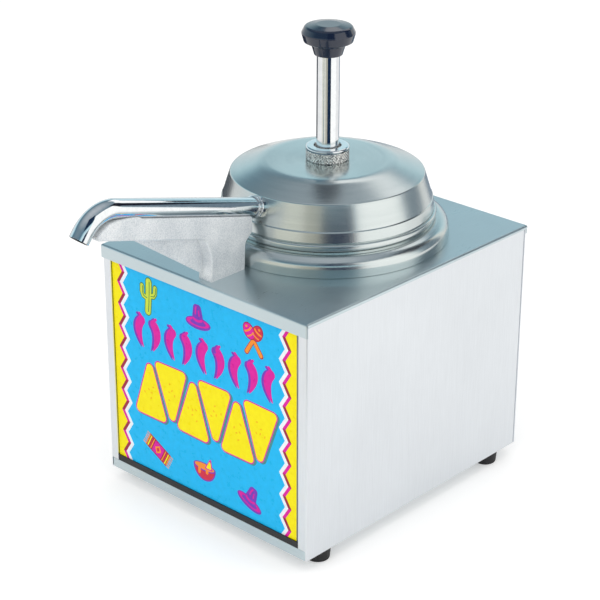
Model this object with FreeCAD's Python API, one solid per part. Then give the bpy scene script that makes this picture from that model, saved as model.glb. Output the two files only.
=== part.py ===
import FreeCAD, Part
import math
import os
from FreeCAD import Vector

# Lighted countertop pump warmer for nacho cheese, in millimetres.
# X is to the right seen from the front, -Y is the front (sign and spout), +Z is up.
# The origin is on the counter, under the middle of the whole appliance's outline.
# Heights called "above the cover" are measured from the top cover's upper face.

# ---------------------------------------------------------------- driving dimensions

BODY_WIDTH = 232.0
BODY_DEPTH = 275.0
BODY_HEIGHT = 210.0
FOOT_HEIGHT = 12.0
SHEET = 1.2
RUNNING_GAP = 0.3
FIT_GAP = 0.2
SEAT_GAP = 0.1

FRONT_TO_VESSEL = 150.0
SPOUT_REACH = 278.46
REAR_REACH = 149.0

TOP_Z = FOOT_HEIGHT + BODY_HEIGHT
VESSEL_Y = (SPOUT_REACH - REAR_REACH) / 2.0
FRONT_Y = VESSEL_Y - FRONT_TO_VESSEL
REAR_Y = FRONT_Y + BODY_DEPTH
HALF_WIDTH = BODY_WIDTH / 2.0

# top cover
FRONT_LIP = 11.5
REAR_LIP = 8.0
SIDE_HEM = 3.0
COVER_EDGE_RADIUS = 1.8
VESSEL_HOLE_RADIUS = 96.0

# front and back of the housing
RAIL_WIDTH = 9.0
BEND_RADIUS = 1.6
PAN_LIP = 8.5
SIGN_THICKNESS = 3.0
SIGN_SETBACK = 1.5
SIGN_LEFT = -106.6
SIGN_RIGHT = 104.0
SIGN_BOTTOM = 22.1
SIGN_TOP = 213.0
CHANNEL_TOP = 26.0
FRAME_TOP = 219.0
FRAME_HALF = 112.0
WINDOW_HALF = 99.0
FRAME_SHEET = 2.0
FRAME_SILL = 6.0
FRAME_HEAD = 12.0
VENT_HALF = 13.0
VENT_RADIUS = 2.0
VENT_ROWS = 7
VENT_COLUMNS = 3
VENT_LEFT = -75.0
VENT_BELOW_TOP = 38.0
VENT_ROW_PITCH = 11.0
VENT_COLUMN_PITCH = 40.0
PAN_SLOT_HALF = 6.0
PAN_SLOT_RADIUS = 1.5
PAN_SLOT_ROWS = 3
PAN_SLOT_COLUMNS = 6
PAN_SLOT_LEFT = -55.0
PAN_SLOT_BEHIND_FRONT = 16.0
PAN_SLOT_ROW_PITCH = 9.0
PAN_SLOT_COLUMN_PITCH = 22.0
REAR_SCREW_X = 109.5
REAR_SCREW_Z = (30.0, 116.0, 206.0)
REAR_SCREW_RADIUS = 2.0

# feet
FOOT_RADIUS = 11.0
FOOT_INSET_X = 12.0
FOOT_INSET_Y = 27.0
FOOT_RECESS_RADIUS = 6.2
FOOT_RECESS = 6.0
FOOT_SCREW_RADIUS = 2.4
FOOT_SCREW_HEAD_RADIUS = 4.6
FOOT_SCREW_HEAD_HEIGHT = 2.8
FOOT_SCREW_REACH = 5.0

# lamp behind the sign
LAMP_BEHIND_FRONT = 22.0
LAMP_Z = 122.0
LAMP_RADIUS = 12.5
CAP_RADIUS = 11.0
CAP_THREADS = 5
CAP_THREAD_PITCH = 4.0
SOCKET_END = -80.0
BRACKET_HALF = 14.0
BRACKET_FOOT = 8.0
SHIELD_SHEET = 0.8
SHIELD_BEHIND_LAMP = 18.0
SHIELD_HALF = 96.0
SHIELD_FLARE = 4.0
SHIELD_BEHIND_FRONT = 12.0
SHIELD_BELOW_TOP = 8.0

# water vessel and jar, heights above the cover
FLANGE_RADIUS = 103.0
VESSEL_WALL_RADIUS = 88.0
VESSEL_RIM = 16.3
VESSEL_DEPTH = 188.0
VESSEL_SHEET = 1.0
JAR_WALL_RADIUS = 80.5
JAR_RIM_RADIUS = 90.5
JAR_DEPTH = 160.0
HEATER_RADIUS = 55.0
HEATER_ROD = 4.0
HEATER_TERMINAL = 16.0
HEATER_GAP_ANGLE = math.radians(8.0)
HEATER_PLATE_REACH = 7.0
HEATER_PLATE_SHEET = 1.5
STUD_RADIUS = 3.0
STUD_LENGTH = 15.0
HEATER_NUT_RADIUS = 5.8
HEATER_NUT_HEIGHT = 4.5

# pump lid, heights above the cover
LID_BASE = VESSEL_RIM + VESSEL_SHEET
LID_SHEET = 1.2
BEAD_RADIUS = 92.0
BEAD_TOP = 24.0
BAND_LOW_RADIUS = 89.9
BAND_TOP_RADIUS = 88.3
BAND_TOP = 33.1
DOME_RIM_RADIUS = 81.5
DOME_RIM = 55.0
DOME_FLAT_RADIUS = 55.0
DOME_BREAK_RADIUS = 30.0
LID_TOP = 65.0

# pump, heights above the cover
PUMP_BORE = 12.0
CYLINDER_RADIUS = 14.0
CYLINDER_BOTTOM = -140.0
CYLINDER_FLANGE_RADIUS = 22.0
CYLINDER_FLANGE_HEIGHT = 3.0
NECK_TOP = 73.5
BUSH_LENGTH = 24.0
SLIDING_GAP = 0.08
PLUNGER_RADIUS = 9.5
PLUNGER_WALL = 1.2
PLUNGER_TOP = 168.0
PISTON_BOTTOM = -40.0
PISTON_HEIGHT = 14.0
PISTON_SPIGOT = 10.0
SEAL_RADIUS = 1.3
SEAL_GAP = 0.05
VALVE_RADIUS = 17.0
VALVE_BRIDGE_HALF = 10.0
VALVE_OUTLET_RADIUS = 11.5
INLET_CHAMBER_RADIUS = 9.0
OUTLET_CHAMBER_RADIUS = 6.0
VALVE_BOTTOM = -152.0
VALVE_TOP = -128.0
INLET_SEAT = -148.0
INLET_HOLE = 4.5
OUTLET_SEAT = -141.0
OUTLET_HOLE = 3.0
CROSS_Z = -145.0
INLET_BALL_RADIUS = 6.0
OUTLET_BALL_RADIUS = 4.0
SPRING_RADIUS = 10.0
SPRING_WIRE = 0.7
SPRING_TURNS = 13
NUT_RADIUS = 18.3
NUT_TOP = 76.8
NUT_FLUTES = 48
NUT_FLUTE_RADIUS = 0.9
NUT_FLUTE_BOTTOM = 66.2
NUT_FLUTE_TOP = 73.6
NUT_RECESS_RADIUS = 11.5
NUT_RECESS = 74.0
KNOB_RADIUS = 22.3
KNOB_BOTTOM = 154.5
KNOB_TOP = 180.0
KNOB_STUD_RADIUS = 4.0
KNOB_STUD_TOP = 175.5
KNOB_PLUG_LENGTH = 18.0

# discharge tube in the middle plane; distances behind the vessel axis, heights above the cover
TUBE_RADIUS = 8.0
TUBE_BORE = 7.0
TUBE_SLOPE = math.atan(0.2785)
RISER_Y = -26.0
RISER_BOTTOM = -136.0
RING_Y = -85.9
RING_Z = 45.9
RING_RADIUS = 10.0
RING_BEHIND = 4.0
RING_FRONT = 2.4
RING_EDGE = 1.4
COLLARS = ((9.0, 2.4, 3.4), (9.4, 3.4, 4.6))
RISER_BEND_RADIUS = 24.0
SPOUT_BEND_Y = -235.67
SPOUT_BEND_RADIUS = 31.3
SPOUT_TURN = 1.167
SPOUT_END = 5.96

# cast arm beside the front of the vessel
ARM_HALF = 7.5
ARM_WEB = 4.2
ARM_REAR = -97.0
ARM_TOP_AT_REAR = 42.6
ARM_TOP_SLOPE = 0.2795
ARM_UNDER_AT_WEB = 59.2
ARM_UNDER_SLOPE = 0.287
ARM_WEB_FRONT = -221.5
ARM_WEB_REAR = -141.0
ARM_EDGE = 1.3
TROUGH_RADIUS = TUBE_RADIUS + RUNNING_GAP
ARM_SCREW_Y = (-137.0, -113.0)
ARM_SCREW_RADIUS = 2.5
ARM_SCREW_DEPTH = 12.0
ARM_SCREW_HEAD_RADIUS = 4.5
ARM_SCREW_HEAD_HEIGHT = 3.0
ARM_WIRE_Y = -125.0
ARM_WIRE_RADIUS = 3.0
CARTRIDGE_Z = 33.6
CARTRIDGE_RADIUS = 3.2
CARTRIDGE_LENGTH = 100.0
CARTRIDGE_SETBACK = 5.0

# controls on the rear panel
CONTROL_X = 84.0
DIAL_Z = 108.0
DIAL_RADIUS = 19.0
DIAL_GRIP_HALF = 5.5
DIAL_GRIP_REACH = 16.0
THERMOSTAT_HALF_X = 18.0
THERMOSTAT_HALF_Z = 17.0
THERMOSTAT_DEPTH = 30.0
SHAFT_RADIUS = 3.0
SHAFT_HOLE_DEPTH = 24.0
SHAFT_BACK = 23.5
SHAFT_REACH = 14.0
SWITCH_Z = 152.0
SWITCH_PIVOT_Y = REAR_Y + 1.0
SWITCH_TIP = 8.0
SWITCH_HALF_X = 9.5
SWITCH_HALF_Z = 13.0
SWITCH_DEPTH = 16.0
SWITCH_RIM = 1.6
SWITCH_RIM_HEIGHT = 2.0
SWITCH_WALL_X = 2.0
SWITCH_WALL_Z = 1.5
SWITCH_WELL_DEPTH = 9.0
PILOT_Z = 186.0
PILOT_RADIUS = 6.0
BUSHING_X = -84.0
BUSHING_Z = 44.0
BUSHING_RADIUS = 9.0
BUSHING_BORE = 4.0
BULB_ANGLE = math.radians(42.0)
BULB_RADIUS = 3.5
BULB_LOW = 60.0
BULB_HIGH = 120.0
CLIP_LOW = 84.0
CLIP_HIGH = 96.0
CAPILLARY_RADIUS = 1.0
CAPILLARY_BEND = 8.0
CAPILLARY_LOW = 44.0
CAPILLARY_BEHIND = 20.0

# terminal block on the base pan
BLOCK_LEFT = -104.0
BLOCK_AHEAD_OF_REAR = 90.0
BLOCK_SIZE = (16.0, 30.0, 14.0)
BLOCK_HOLES = 3
BLOCK_HOLE_RADIUS = 2.6
BLOCK_HOLE_PITCH = 9.0
BLOCK_HOLE_DEPTH = 6.0

ALONG_X = Vector(1, 0, 0)
ALONG_Y = Vector(0, 1, 0)
ALONG_Z = Vector(0, 0, 1)
FULL_TURN = 360.0
PAST = 1.0

# ---------------------------------------------------------------- shape helpers


def box(low, high):
    """Block between two opposite corners."""
    return Part.makeBox(high[0] - low[0], high[1] - low[1], high[2] - low[2], Vector(*low))


def rod(radius, start, end):
    """Solid round bar between two points."""
    start = Vector(*start)
    path = Vector(*end) - start
    return Part.makeCylinder(radius, path.Length, start, path)


def fused(shapes):
    """One solid from touching solids."""
    return shapes[0].fuse(shapes[1:]).removeSplitter()


def mid(y, z, x=0.0):
    """Point at a distance behind the vessel axis and a height above the cover."""
    return Vector(x, VESSEL_Y + y, TOP_Z + z)


def bend(before, corner, after, radius):
    """Start, middle, end and centre of the arc that rounds a corner."""
    back = (before - corner).normalize()
    ahead = (after - corner).normalize()
    half = back.getAngle(ahead) / 2.0
    reach = radius / math.tan(half)
    inward = (back + ahead).normalize()
    centre = corner + inward * (radius / math.sin(half))
    return corner + back * reach, centre - inward * radius, corner + ahead * reach, centre


def closed_wire(corners):
    """Lines and tangent arcs round corners given as (point, radius)."""
    count = len(corners)
    arcs = []
    for i, (point, radius) in enumerate(corners):
        if radius > 0:
            after = corners[(i + 1) % count][0]
            start, middle, end, _ = bend(corners[i - 1][0], point, after, radius)
            arcs.append((start, middle, end))
        else:
            arcs.append((point, None, point))
    edges = []
    for i, (start, middle, end) in enumerate(arcs):
        if middle is not None:
            edges.append(Part.Arc(start, middle, end).toShape())
        following = arcs[(i + 1) % count][0]
        if (following - end).Length > 1e-6:
            edges.append(Part.LineSegment(end, following).toShape())
    return Part.Wire(edges)


def face_of(points, place):
    """Flat face inside an outline of (a, b) or (a, b, radius) corners."""
    corners = [(place(p[0], p[1]), p[2] if len(p) > 2 else 0.0) for p in points]
    return Part.Face(closed_wire(corners))


def revolved(points, height=TOP_Z, centre=(0.0, VESSEL_Y)):
    """Solid turned round a vertical axis from an (r, z) outline."""
    def place(r, z):
        return Vector(centre[0] + r, centre[1], height + z)
    return face_of(points, place).revolve(Vector(centre[0], centre[1], 0), ALONG_Z, FULL_TURN)


def turned_back(points, x, z):
    """Solid turned round an axis along Y from an (r, y) outline, y measured from the rear face."""
    def place(r, y):
        return Vector(x + r, REAR_Y + y, z)
    return face_of(points, place).revolve(Vector(x, REAR_Y, z), ALONG_Y, FULL_TURN)


def bent_sheet(path, thickness, low, high):
    """Upright sheet bent along a path of (x, y, outer radius) points; it thickens to the left."""
    inner = []
    for i, (x, y, radius) in enumerate(path):
        here = Vector(x, y, 0)
        sides = []
        if i > 0:
            sides.append(here - Vector(path[i - 1][0], path[i - 1][1], 0))
        if i < len(path) - 1:
            sides.append(Vector(path[i + 1][0], path[i + 1][1], 0) - here)
        normals = [Vector(-side.y, side.x, 0).normalize() for side in sides]
        mitre = (normals[0] + normals[-1]).normalize()
        moved = here + mitre * (thickness / mitre.dot(normals[0]))
        inner.append((moved.x, moved.y, max(radius - thickness, 0.0)))
    inner.reverse()

    def place(x, y):
        return Vector(x, y, low)
    return face_of(list(path) + inner, place).extrude(ALONG_Z * (high - low))


def plate_yz(points, x_low, x_high):
    """Upright plate along Y from an outline of distances behind the axis and heights above the cover."""
    def place(y, z):
        return mid(y, z, x_low)
    return face_of(points, place).extrude(ALONG_X * (x_high - x_low))


def pipe(corners, radius, bore=0.0):
    """Round tube along straight runs joined by tangent arcs; corners are (point, bend radius)."""
    def section(point, direction):
        ring = Part.Wire(Part.makeCircle(radius, point, direction))
        if bore <= 0:
            return Part.Face(ring)
        return Part.Face(ring).cut(Part.Face(Part.Wire(Part.makeCircle(bore, point, direction))))
    pieces = []
    last = corners[0][0]
    for i in range(1, len(corners)):
        point, turn = corners[i]
        direction = (point - last).normalize()
        if turn <= 0:
            pieces.append(section(last, direction).extrude(point - last))
            last = point
            continue
        after = corners[i + 1][0]
        start, _, end, centre = bend(last, point, after, turn)
        pieces.append(section(last, direction).extrude(start - last))
        ahead = (after - point).normalize()
        axis = direction.cross(ahead).normalize()
        angle = math.degrees(direction.getAngle(ahead))
        pieces.append(section(start, direction).revolve(centre, axis, angle))
        last = end
    return fused(pieces)


# ---------------------------------------------------------------- housing


def top_cover():
    """Flat cover with a deep front lip, a rear lip, thin side hems and the vessel's hole."""
    inner_x = HALF_WIDTH + FIT_GAP
    outer_x = inner_x + SHEET
    front = FRONT_Y - FIT_GAP
    rear = REAR_Y + FIT_GAP
    low = TOP_Z - FRONT_LIP
    cover = box((-outer_x, front - SHEET, low), (outer_x, rear + SHEET, TOP_Z))
    upper = [edge for edge in cover.Edges if edge.BoundBox.ZMax > TOP_Z - FIT_GAP]
    cover = cover.makeFillet(COVER_EDGE_RADIUS, upper)
    cover = cover.cut(box((-inner_x, front, low - PAST), (inner_x, rear, TOP_Z - SHEET)))
    sides = box((-outer_x - PAST, front, low - PAST), (outer_x + PAST, rear + 2 * SHEET, TOP_Z - SIDE_HEM))
    middle = box((-inner_x, rear, TOP_Z - REAR_LIP), (inner_x, rear + 3 * SHEET, TOP_Z))
    cover = cover.cut(sides.cut(middle))
    cover = cover.cut(rod(VESSEL_HOLE_RADIUS, mid(0, -2 * SHEET), mid(0, PAST)))
    for y in ARM_SCREW_Y:
        cover = cover.cut(rod(ARM_SCREW_RADIUS + FIT_GAP, mid(y, -2 * SHEET), mid(y, PAST)))
    return cover.cut(rod(ARM_WIRE_RADIUS, mid(ARM_WIRE_Y, -2 * SHEET), mid(ARM_WIRE_Y, PAST)))


def side_panel(side):
    """Side sheet whose front edge returns inward as the rail beside the sign."""
    rail_x = side * (HALF_WIDTH - RAIL_WIDTH)
    outer_x = side * HALF_WIDTH
    rear = REAR_Y - SHEET
    path = [
        (rail_x, FRONT_Y, 0.0),
        (outer_x, FRONT_Y, BEND_RADIUS),
        (outer_x, rear, BEND_RADIUS),
        (rail_x, rear, 0.0),
    ]
    if side < 0:
        path.reverse()
    panel = bent_sheet(path, SHEET, FOOT_HEIGHT, TOP_Z - SHEET)
    edges = sorted((side * (HALF_WIDTH - SHEET), rail_x - side))
    notch_top = FOOT_HEIGHT + PAN_LIP + FIT_GAP
    return panel.cut(box((edges[0], FRONT_Y - PAST, 0), (edges[1], REAR_Y, notch_top)))


def left_side_panel():
    """Side panel on the viewer's left."""
    return side_panel(-1)


def right_side_panel():
    """Side panel on the viewer's right."""
    return side_panel(1)


def base_pan():
    """Shallow vented tray under the housing; its front lip shows below the sign."""
    half = HALF_WIDTH - SHEET - FIT_GAP
    rear = REAR_Y - SHEET - FIT_GAP
    lip_top = FOOT_HEIGHT + PAN_LIP
    floor = FOOT_HEIGHT + SHEET
    pan = box((-half, FRONT_Y, FOOT_HEIGHT), (half, rear, lip_top))
    upright = [edge for edge in pan.Edges if edge.BoundBox.ZLength > SHEET]
    pan = pan.makeFillet(BEND_RADIUS, upright)
    pan = pan.cut(box((-half + SHEET, FRONT_Y + SHEET, floor), (half - SHEET, rear - SHEET, lip_top + PAST)))
    for x, y in foot_places():
        pan = pan.cut(rod(FOOT_SCREW_RADIUS, (x, y, FOOT_HEIGHT - PAST), (x, y, floor + PAST)))
    for row in range(PAN_SLOT_ROWS):
        y = FRONT_Y + PAN_SLOT_BEHIND_FRONT + PAN_SLOT_ROW_PITCH * row
        for column in range(PAN_SLOT_COLUMNS):
            x = PAN_SLOT_LEFT + PAN_SLOT_COLUMN_PITCH * column
            left = x - PAN_SLOT_HALF
            right = x + PAN_SLOT_HALF
            low = FOOT_HEIGHT - PAST
            high = floor + PAST
            pan = pan.cut(box((left, y - PAN_SLOT_RADIUS, low), (right, y + PAN_SLOT_RADIUS, high)))
            pan = pan.cut(rod(PAN_SLOT_RADIUS, (left, y, low), (left, y, high)))
            pan = pan.cut(rod(PAN_SLOT_RADIUS, (right, y, low), (right, y, high)))
    return pan


def rear_panel():
    """Back sheet with rows of vents and openings for the controls."""
    low = REAR_Y - SHEET
    panel = box((-HALF_WIDTH, low, FOOT_HEIGHT), (HALF_WIDTH, REAR_Y, TOP_Z - SHEET))

    def through(radius, x, z):
        return rod(radius, (x, low - PAST, z), (x, REAR_Y + PAST, z))

    for row in range(VENT_ROWS):
        z = TOP_Z - VENT_BELOW_TOP - VENT_ROW_PITCH * row
        for column in range(VENT_COLUMNS):
            left = VENT_LEFT + VENT_COLUMN_PITCH * column
            right = left + 2 * VENT_HALF
            slot = box((left, low - PAST, z - VENT_RADIUS), (right, REAR_Y + PAST, z + VENT_RADIUS))
            panel = panel.cut([slot, through(VENT_RADIUS, left, z), through(VENT_RADIUS, right, z)])
    switch_low = (CONTROL_X - SWITCH_HALF_X, low - PAST, SWITCH_Z - SWITCH_HALF_Z)
    switch_high = (CONTROL_X + SWITCH_HALF_X, REAR_Y + PAST, SWITCH_Z + SWITCH_HALF_Z)
    panel = panel.cut(box(switch_low, switch_high))
    panel = panel.cut(through(SHAFT_RADIUS + RUNNING_GAP, CONTROL_X, DIAL_Z))
    panel = panel.cut(through(PILOT_RADIUS, CONTROL_X, PILOT_Z))
    panel = panel.cut(through(BUSHING_RADIUS, BUSHING_X, BUSHING_Z))
    for x, z in rear_screw_places():
        panel = panel.cut(through(REAR_SCREW_RADIUS, x, z))
    return panel


def rear_screw_places():
    """Places of the screws that hold the rear panel."""
    return [(side * REAR_SCREW_X, z) for side in (-1, 1) for z in REAR_SCREW_Z]


def rear_screws():
    """Six pan-head screws in the rear panel."""
    profile = [
        (0.0, -SHEET),
        (REAR_SCREW_RADIUS, -SHEET),
        (REAR_SCREW_RADIUS, 0.0),
        (3.6, 0.0),
        (3.4, 1.6, 1.0),
        (1.4, 2.0),
        (1.0, 1.0),
        (0.0, 1.0),
    ]
    return Part.makeCompound([turned_back(profile, x, z) for x, z in rear_screw_places()])


def foot_places():
    """Plan centres of the four feet."""
    x = HALF_WIDTH - FOOT_INSET_X
    return [(sx * x, y) for sx in (-1, 1) for y in (FRONT_Y + FOOT_INSET_Y, REAR_Y - FOOT_INSET_Y)]


def feet():
    """Four round rubber feet with a screw recess underneath."""
    profile = [
        (FOOT_SCREW_RADIUS, FOOT_HEIGHT),
        (FOOT_RADIUS, FOOT_HEIGHT, 0.6),
        (FOOT_RADIUS - 1.2, 0.0, 1.2),
        (FOOT_RECESS_RADIUS, 0.0),
        (FOOT_RECESS_RADIUS, FOOT_RECESS),
        (FOOT_SCREW_RADIUS, FOOT_RECESS),
    ]
    return Part.makeCompound([revolved(profile, 0.0, place) for place in foot_places()])


def foot_screws():
    """Four screws up through the feet into the base pan."""
    head = FOOT_RECESS - FOOT_SCREW_HEAD_HEIGHT
    profile = [
        (0.0, head),
        (FOOT_SCREW_HEAD_RADIUS, head, 0.8),
        (FOOT_SCREW_HEAD_RADIUS, FOOT_RECESS),
        (FOOT_SCREW_RADIUS, FOOT_RECESS),
        (FOOT_SCREW_RADIUS, FOOT_HEIGHT + FOOT_SCREW_REACH),
        (0.0, FOOT_HEIGHT + FOOT_SCREW_REACH),
    ]
    return Part.makeCompound([revolved(profile, 0.0, place) for place in foot_places()])


# ---------------------------------------------------------------- sign and its light

SIGN_FACE = FRONT_Y + SIGN_SETBACK
SIGN_SEAT = SIGN_FACE + SIGN_THICKNESS + RUNNING_GAP


def sign_panel():
    """Translucent printed sheet that fills the front between the rails."""
    return box((SIGN_LEFT, SIGN_FACE, SIGN_BOTTOM), (SIGN_RIGHT, SIGN_FACE + SIGN_THICKNESS, SIGN_TOP))


def sign_channel():
    """Black channel that holds the sign's lower edge."""
    half = HALF_WIDTH - RAIL_WIDTH - FIT_GAP
    channel = box((-half, FRONT_Y + FIT_GAP, FOOT_HEIGHT + PAN_LIP), (half, SIGN_SEAT + SHEET, CHANNEL_TOP))
    slot_low = (-half - PAST, SIGN_FACE - RUNNING_GAP, SIGN_BOTTOM - SEAT_GAP)
    slot_high = (half + PAST, SIGN_SEAT, CHANNEL_TOP + PAST)
    return channel.cut(box(slot_low, slot_high))


def sign_frame():
    """Black frame behind the rails that the sign rests against."""
    rail_back = FRONT_Y + SHEET
    pocket_half = HALF_WIDTH - RAIL_WIDTH + FIT_GAP
    low = CHANNEL_TOP + FIT_GAP
    frame = box((-FRAME_HALF, rail_back, low), (FRAME_HALF, SIGN_SEAT + FRAME_SHEET, FRAME_TOP))
    frame = frame.cut(box((-pocket_half, rail_back - PAST, 0), (pocket_half, SIGN_SEAT, TOP_Z)))
    window_low = (-WINDOW_HALF, SIGN_SEAT - PAST, low + FRAME_SILL)
    window_high = (WINDOW_HALF, SIGN_SEAT + FRAME_SHEET + PAST, FRAME_TOP - FRAME_HEAD)
    return frame.cut(box(window_low, window_high))


def lamp_turned(profile):
    """Solid turned round the lamp's axis, which lies across the housing, from an (x, r) outline."""
    y = FRONT_Y + LAMP_BEHIND_FRONT

    def place(x, r):
        return Vector(x, y, LAMP_Z + r)
    return face_of(profile, place).revolve(Vector(0, y, LAMP_Z), ALONG_X, FULL_TURN)


def lamp_bulb():
    """Tubular glass envelope with a rounded end."""
    return lamp_turned([(-46, 0), (-46, 10.2), (-38, LAMP_RADIUS, 4), (78, LAMP_RADIUS, 9), (80, 0)])


def lamp_cap():
    """Threaded brass cap on the lamp."""
    profile = [(-46, 0), (-46, CAP_RADIUS - 1.0)]
    for turn in range(CAP_THREADS):
        x = -48.0 - CAP_THREAD_PITCH * turn
        profile.append((x, CAP_RADIUS, 0.6))
        profile.append((x - CAP_THREAD_PITCH / 2, CAP_RADIUS - 1.0, 0.6))
    profile += [(-68, 6), (-70, 4), (-70, 0)]
    return lamp_turned(profile)


def lamp_socket():
    """Ceramic socket round the cap."""
    bore = CAP_RADIUS + RUNNING_GAP
    return lamp_turned([
        (SOCKET_END, 0),
        (SOCKET_END, 13, 2),
        (-54, 15, 1),
        (-54, bore),
        (-71, bore),
        (-71, 0),
    ])


def lamp_bracket():
    """Angle that carries the socket on the light shield."""
    y = FRONT_Y + LAMP_BEHIND_FRONT
    shield_front = y + SHIELD_BEHIND_LAMP - SHIELD_SHEET
    low = LAMP_Z - BRACKET_HALF
    high = (SOCKET_END, shield_front, LAMP_Z + BRACKET_HALF)
    web = box((SOCKET_END - SHEET, y - BRACKET_HALF, low), high)
    foot = box((SOCKET_END - BRACKET_FOOT, shield_front - SHEET, low), high)
    return fused([web, foot])


def light_shield():
    """White reflector that keeps the vessel's wall behind the lamp."""
    front = FRONT_Y + SHIELD_BEHIND_FRONT
    back = FRONT_Y + LAMP_BEHIND_FRONT + SHIELD_BEHIND_LAMP
    path = [
        (SHIELD_HALF + SHIELD_FLARE, front, 0.0),
        (SHIELD_HALF, back, 6.0),
        (-SHIELD_HALF, back, 6.0),
        (-SHIELD_HALF - SHIELD_FLARE, front, 0.0),
    ]
    return bent_sheet(path, SHIELD_SHEET, FOOT_HEIGHT + SHEET, TOP_Z - SHIELD_BELOW_TOP)


# ---------------------------------------------------------------- water vessel and heater


def water_vessel():
    """Deep-drawn vessel with a tall rounded flange standing on the top cover."""
    wall_in = VESSEL_WALL_RADIUS - VESSEL_SHEET
    under = VESSEL_RIM - SHEET
    return revolved([
        (FLANGE_RADIUS - SHEET, 0.0),
        (FLANGE_RADIUS, 0.0),
        (FLANGE_RADIUS - 0.4, 12.6, 3.6),
        (FLANGE_RADIUS - 6.5, VESSEL_RIM, 7.0),
        (wall_in, VESSEL_RIM, 1.8),
        (wall_in, -VESSEL_DEPTH + VESSEL_SHEET, 9.0),
        (0.0, -VESSEL_DEPTH + VESSEL_SHEET),
        (0.0, -VESSEL_DEPTH),
        (VESSEL_WALL_RADIUS, -VESSEL_DEPTH, 10.0),
        (VESSEL_WALL_RADIUS, under, 0.6),
        (FLANGE_RADIUS - 6.9, under, 5.8),
        (FLANGE_RADIUS - 0.4 - SHEET, 12.0, 2.6),
    ])


def vessel_stud():
    """Threaded stud welded under the vessel's middle."""
    return rod(STUD_RADIUS, mid(0, -VESSEL_DEPTH), mid(0, -VESSEL_DEPTH - STUD_LENGTH))


def heating_element():
    """Sheathed heating ring under the vessel, open at the back with two terminals."""
    z = -VESSEL_DEPTH - HEATER_ROD - SEAT_GAP
    gap = HEATER_GAP_ANGLE
    section = Part.Face(Part.Wire(Part.makeCircle(HEATER_ROD, mid(0, z, HEATER_RADIUS), ALONG_Y)))
    section.rotate(mid(0, z), ALONG_Z, math.degrees(math.pi / 2 + gap))
    ring = section.revolve(mid(0, z), ALONG_Z, FULL_TURN - 2 * math.degrees(gap))
    pieces = [ring]
    for side in (-1, 1):
        angle = math.pi / 2 + side * gap
        x = HEATER_RADIUS * math.cos(angle)
        y = HEATER_RADIUS * math.sin(angle)
        pieces.append(rod(HEATER_ROD - 1.0, mid(y, z, x), mid(y + HEATER_TERMINAL, z, x)))
    return fused(pieces)


def heater_plate():
    """Round plate that presses the heating ring against the vessel."""
    high = -VESSEL_DEPTH - 2 * HEATER_ROD - 2 * SEAT_GAP
    low = high - HEATER_PLATE_SHEET
    plate = rod(HEATER_RADIUS + HEATER_PLATE_REACH, mid(0, low), mid(0, high))
    return plate.cut(rod(STUD_RADIUS + FIT_GAP, mid(0, low - PAST), mid(0, high + PAST)))


def heater_nut():
    """Hexagon nut on the vessel's stud."""
    low = -VESSEL_DEPTH - 2 * HEATER_ROD - 2 * SEAT_GAP - HEATER_PLATE_SHEET - HEATER_NUT_HEIGHT
    corners = []
    for i in range(6):
        angle = math.pi * i / 3
        corners.append(mid(HEATER_NUT_RADIUS * math.sin(angle), low, HEATER_NUT_RADIUS * math.cos(angle)))
    nut = Part.Face(Part.makePolygon(corners + corners[:1])).extrude(ALONG_Z * HEATER_NUT_HEIGHT)
    return nut.cut(rod(STUD_RADIUS, mid(0, low - PAST), mid(0, low + HEATER_NUT_HEIGHT + PAST)))


# ---------------------------------------------------------------- jar and lid


def inset_jar():
    """Deep round jar that hangs in the vessel by its flat rim."""
    wall_in = JAR_WALL_RADIUS - VESSEL_SHEET
    return revolved([
        (JAR_RIM_RADIUS, VESSEL_RIM),
        (JAR_RIM_RADIUS, LID_BASE),
        (wall_in, LID_BASE, 1.8),
        (wall_in, -JAR_DEPTH + VESSEL_SHEET, 11.0),
        (0.0, -JAR_DEPTH + VESSEL_SHEET),
        (0.0, -JAR_DEPTH),
        (JAR_WALL_RADIUS, -JAR_DEPTH, 12.0),
        (JAR_WALL_RADIUS, VESSEL_RIM, 0.8),
    ])


def lid_outline():
    """Half section of the lid: rolled bead, groove, lower band, flared side and coned top."""
    return [
        (CYLINDER_RADIUS + FIT_GAP, LID_TOP),
        (DOME_FLAT_RADIUS, LID_TOP, DOME_BREAK_RADIUS),
        (DOME_RIM_RADIUS, DOME_RIM, 1.8),
        (BAND_TOP_RADIUS, BAND_TOP, 1.0),
        (BAND_LOW_RADIUS, BEAD_TOP + 0.8),
        (BAND_LOW_RADIUS - 0.8, BEAD_TOP + 0.3),
        (BAND_LOW_RADIUS - 0.8, BEAD_TOP - 0.2),
        (BEAD_RADIUS, BEAD_TOP - 0.2, 2.0),
        (BEAD_RADIUS, LID_BASE, 3.0),
        (BAND_TOP_RADIUS - 2 * LID_SHEET, LID_BASE, 1.0),
        (BAND_TOP_RADIUS - LID_SHEET, BAND_TOP),
        (DOME_RIM_RADIUS - LID_SHEET, DOME_RIM - LID_SHEET, 1.0),
        (DOME_FLAT_RADIUS - LID_SHEET, LID_TOP - LID_SHEET, DOME_BREAK_RADIUS - LID_SHEET),
        (CYLINDER_RADIUS + FIT_GAP, LID_TOP - LID_SHEET),
    ]


def tube_direction():
    """Unit vector along the tube's straight run, out of the lid towards the front."""
    return Vector(0, -math.cos(TUBE_SLOPE), math.sin(TUBE_SLOPE))


def pump_lid():
    """Domed lid with holes for the pump's neck and the discharge tube."""
    way = tube_direction()
    centre = mid(RING_Y, RING_Z)
    return revolved(lid_outline()).cut(rod(TUBE_RADIUS, centre - way * 20, centre + way * 20))


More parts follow.
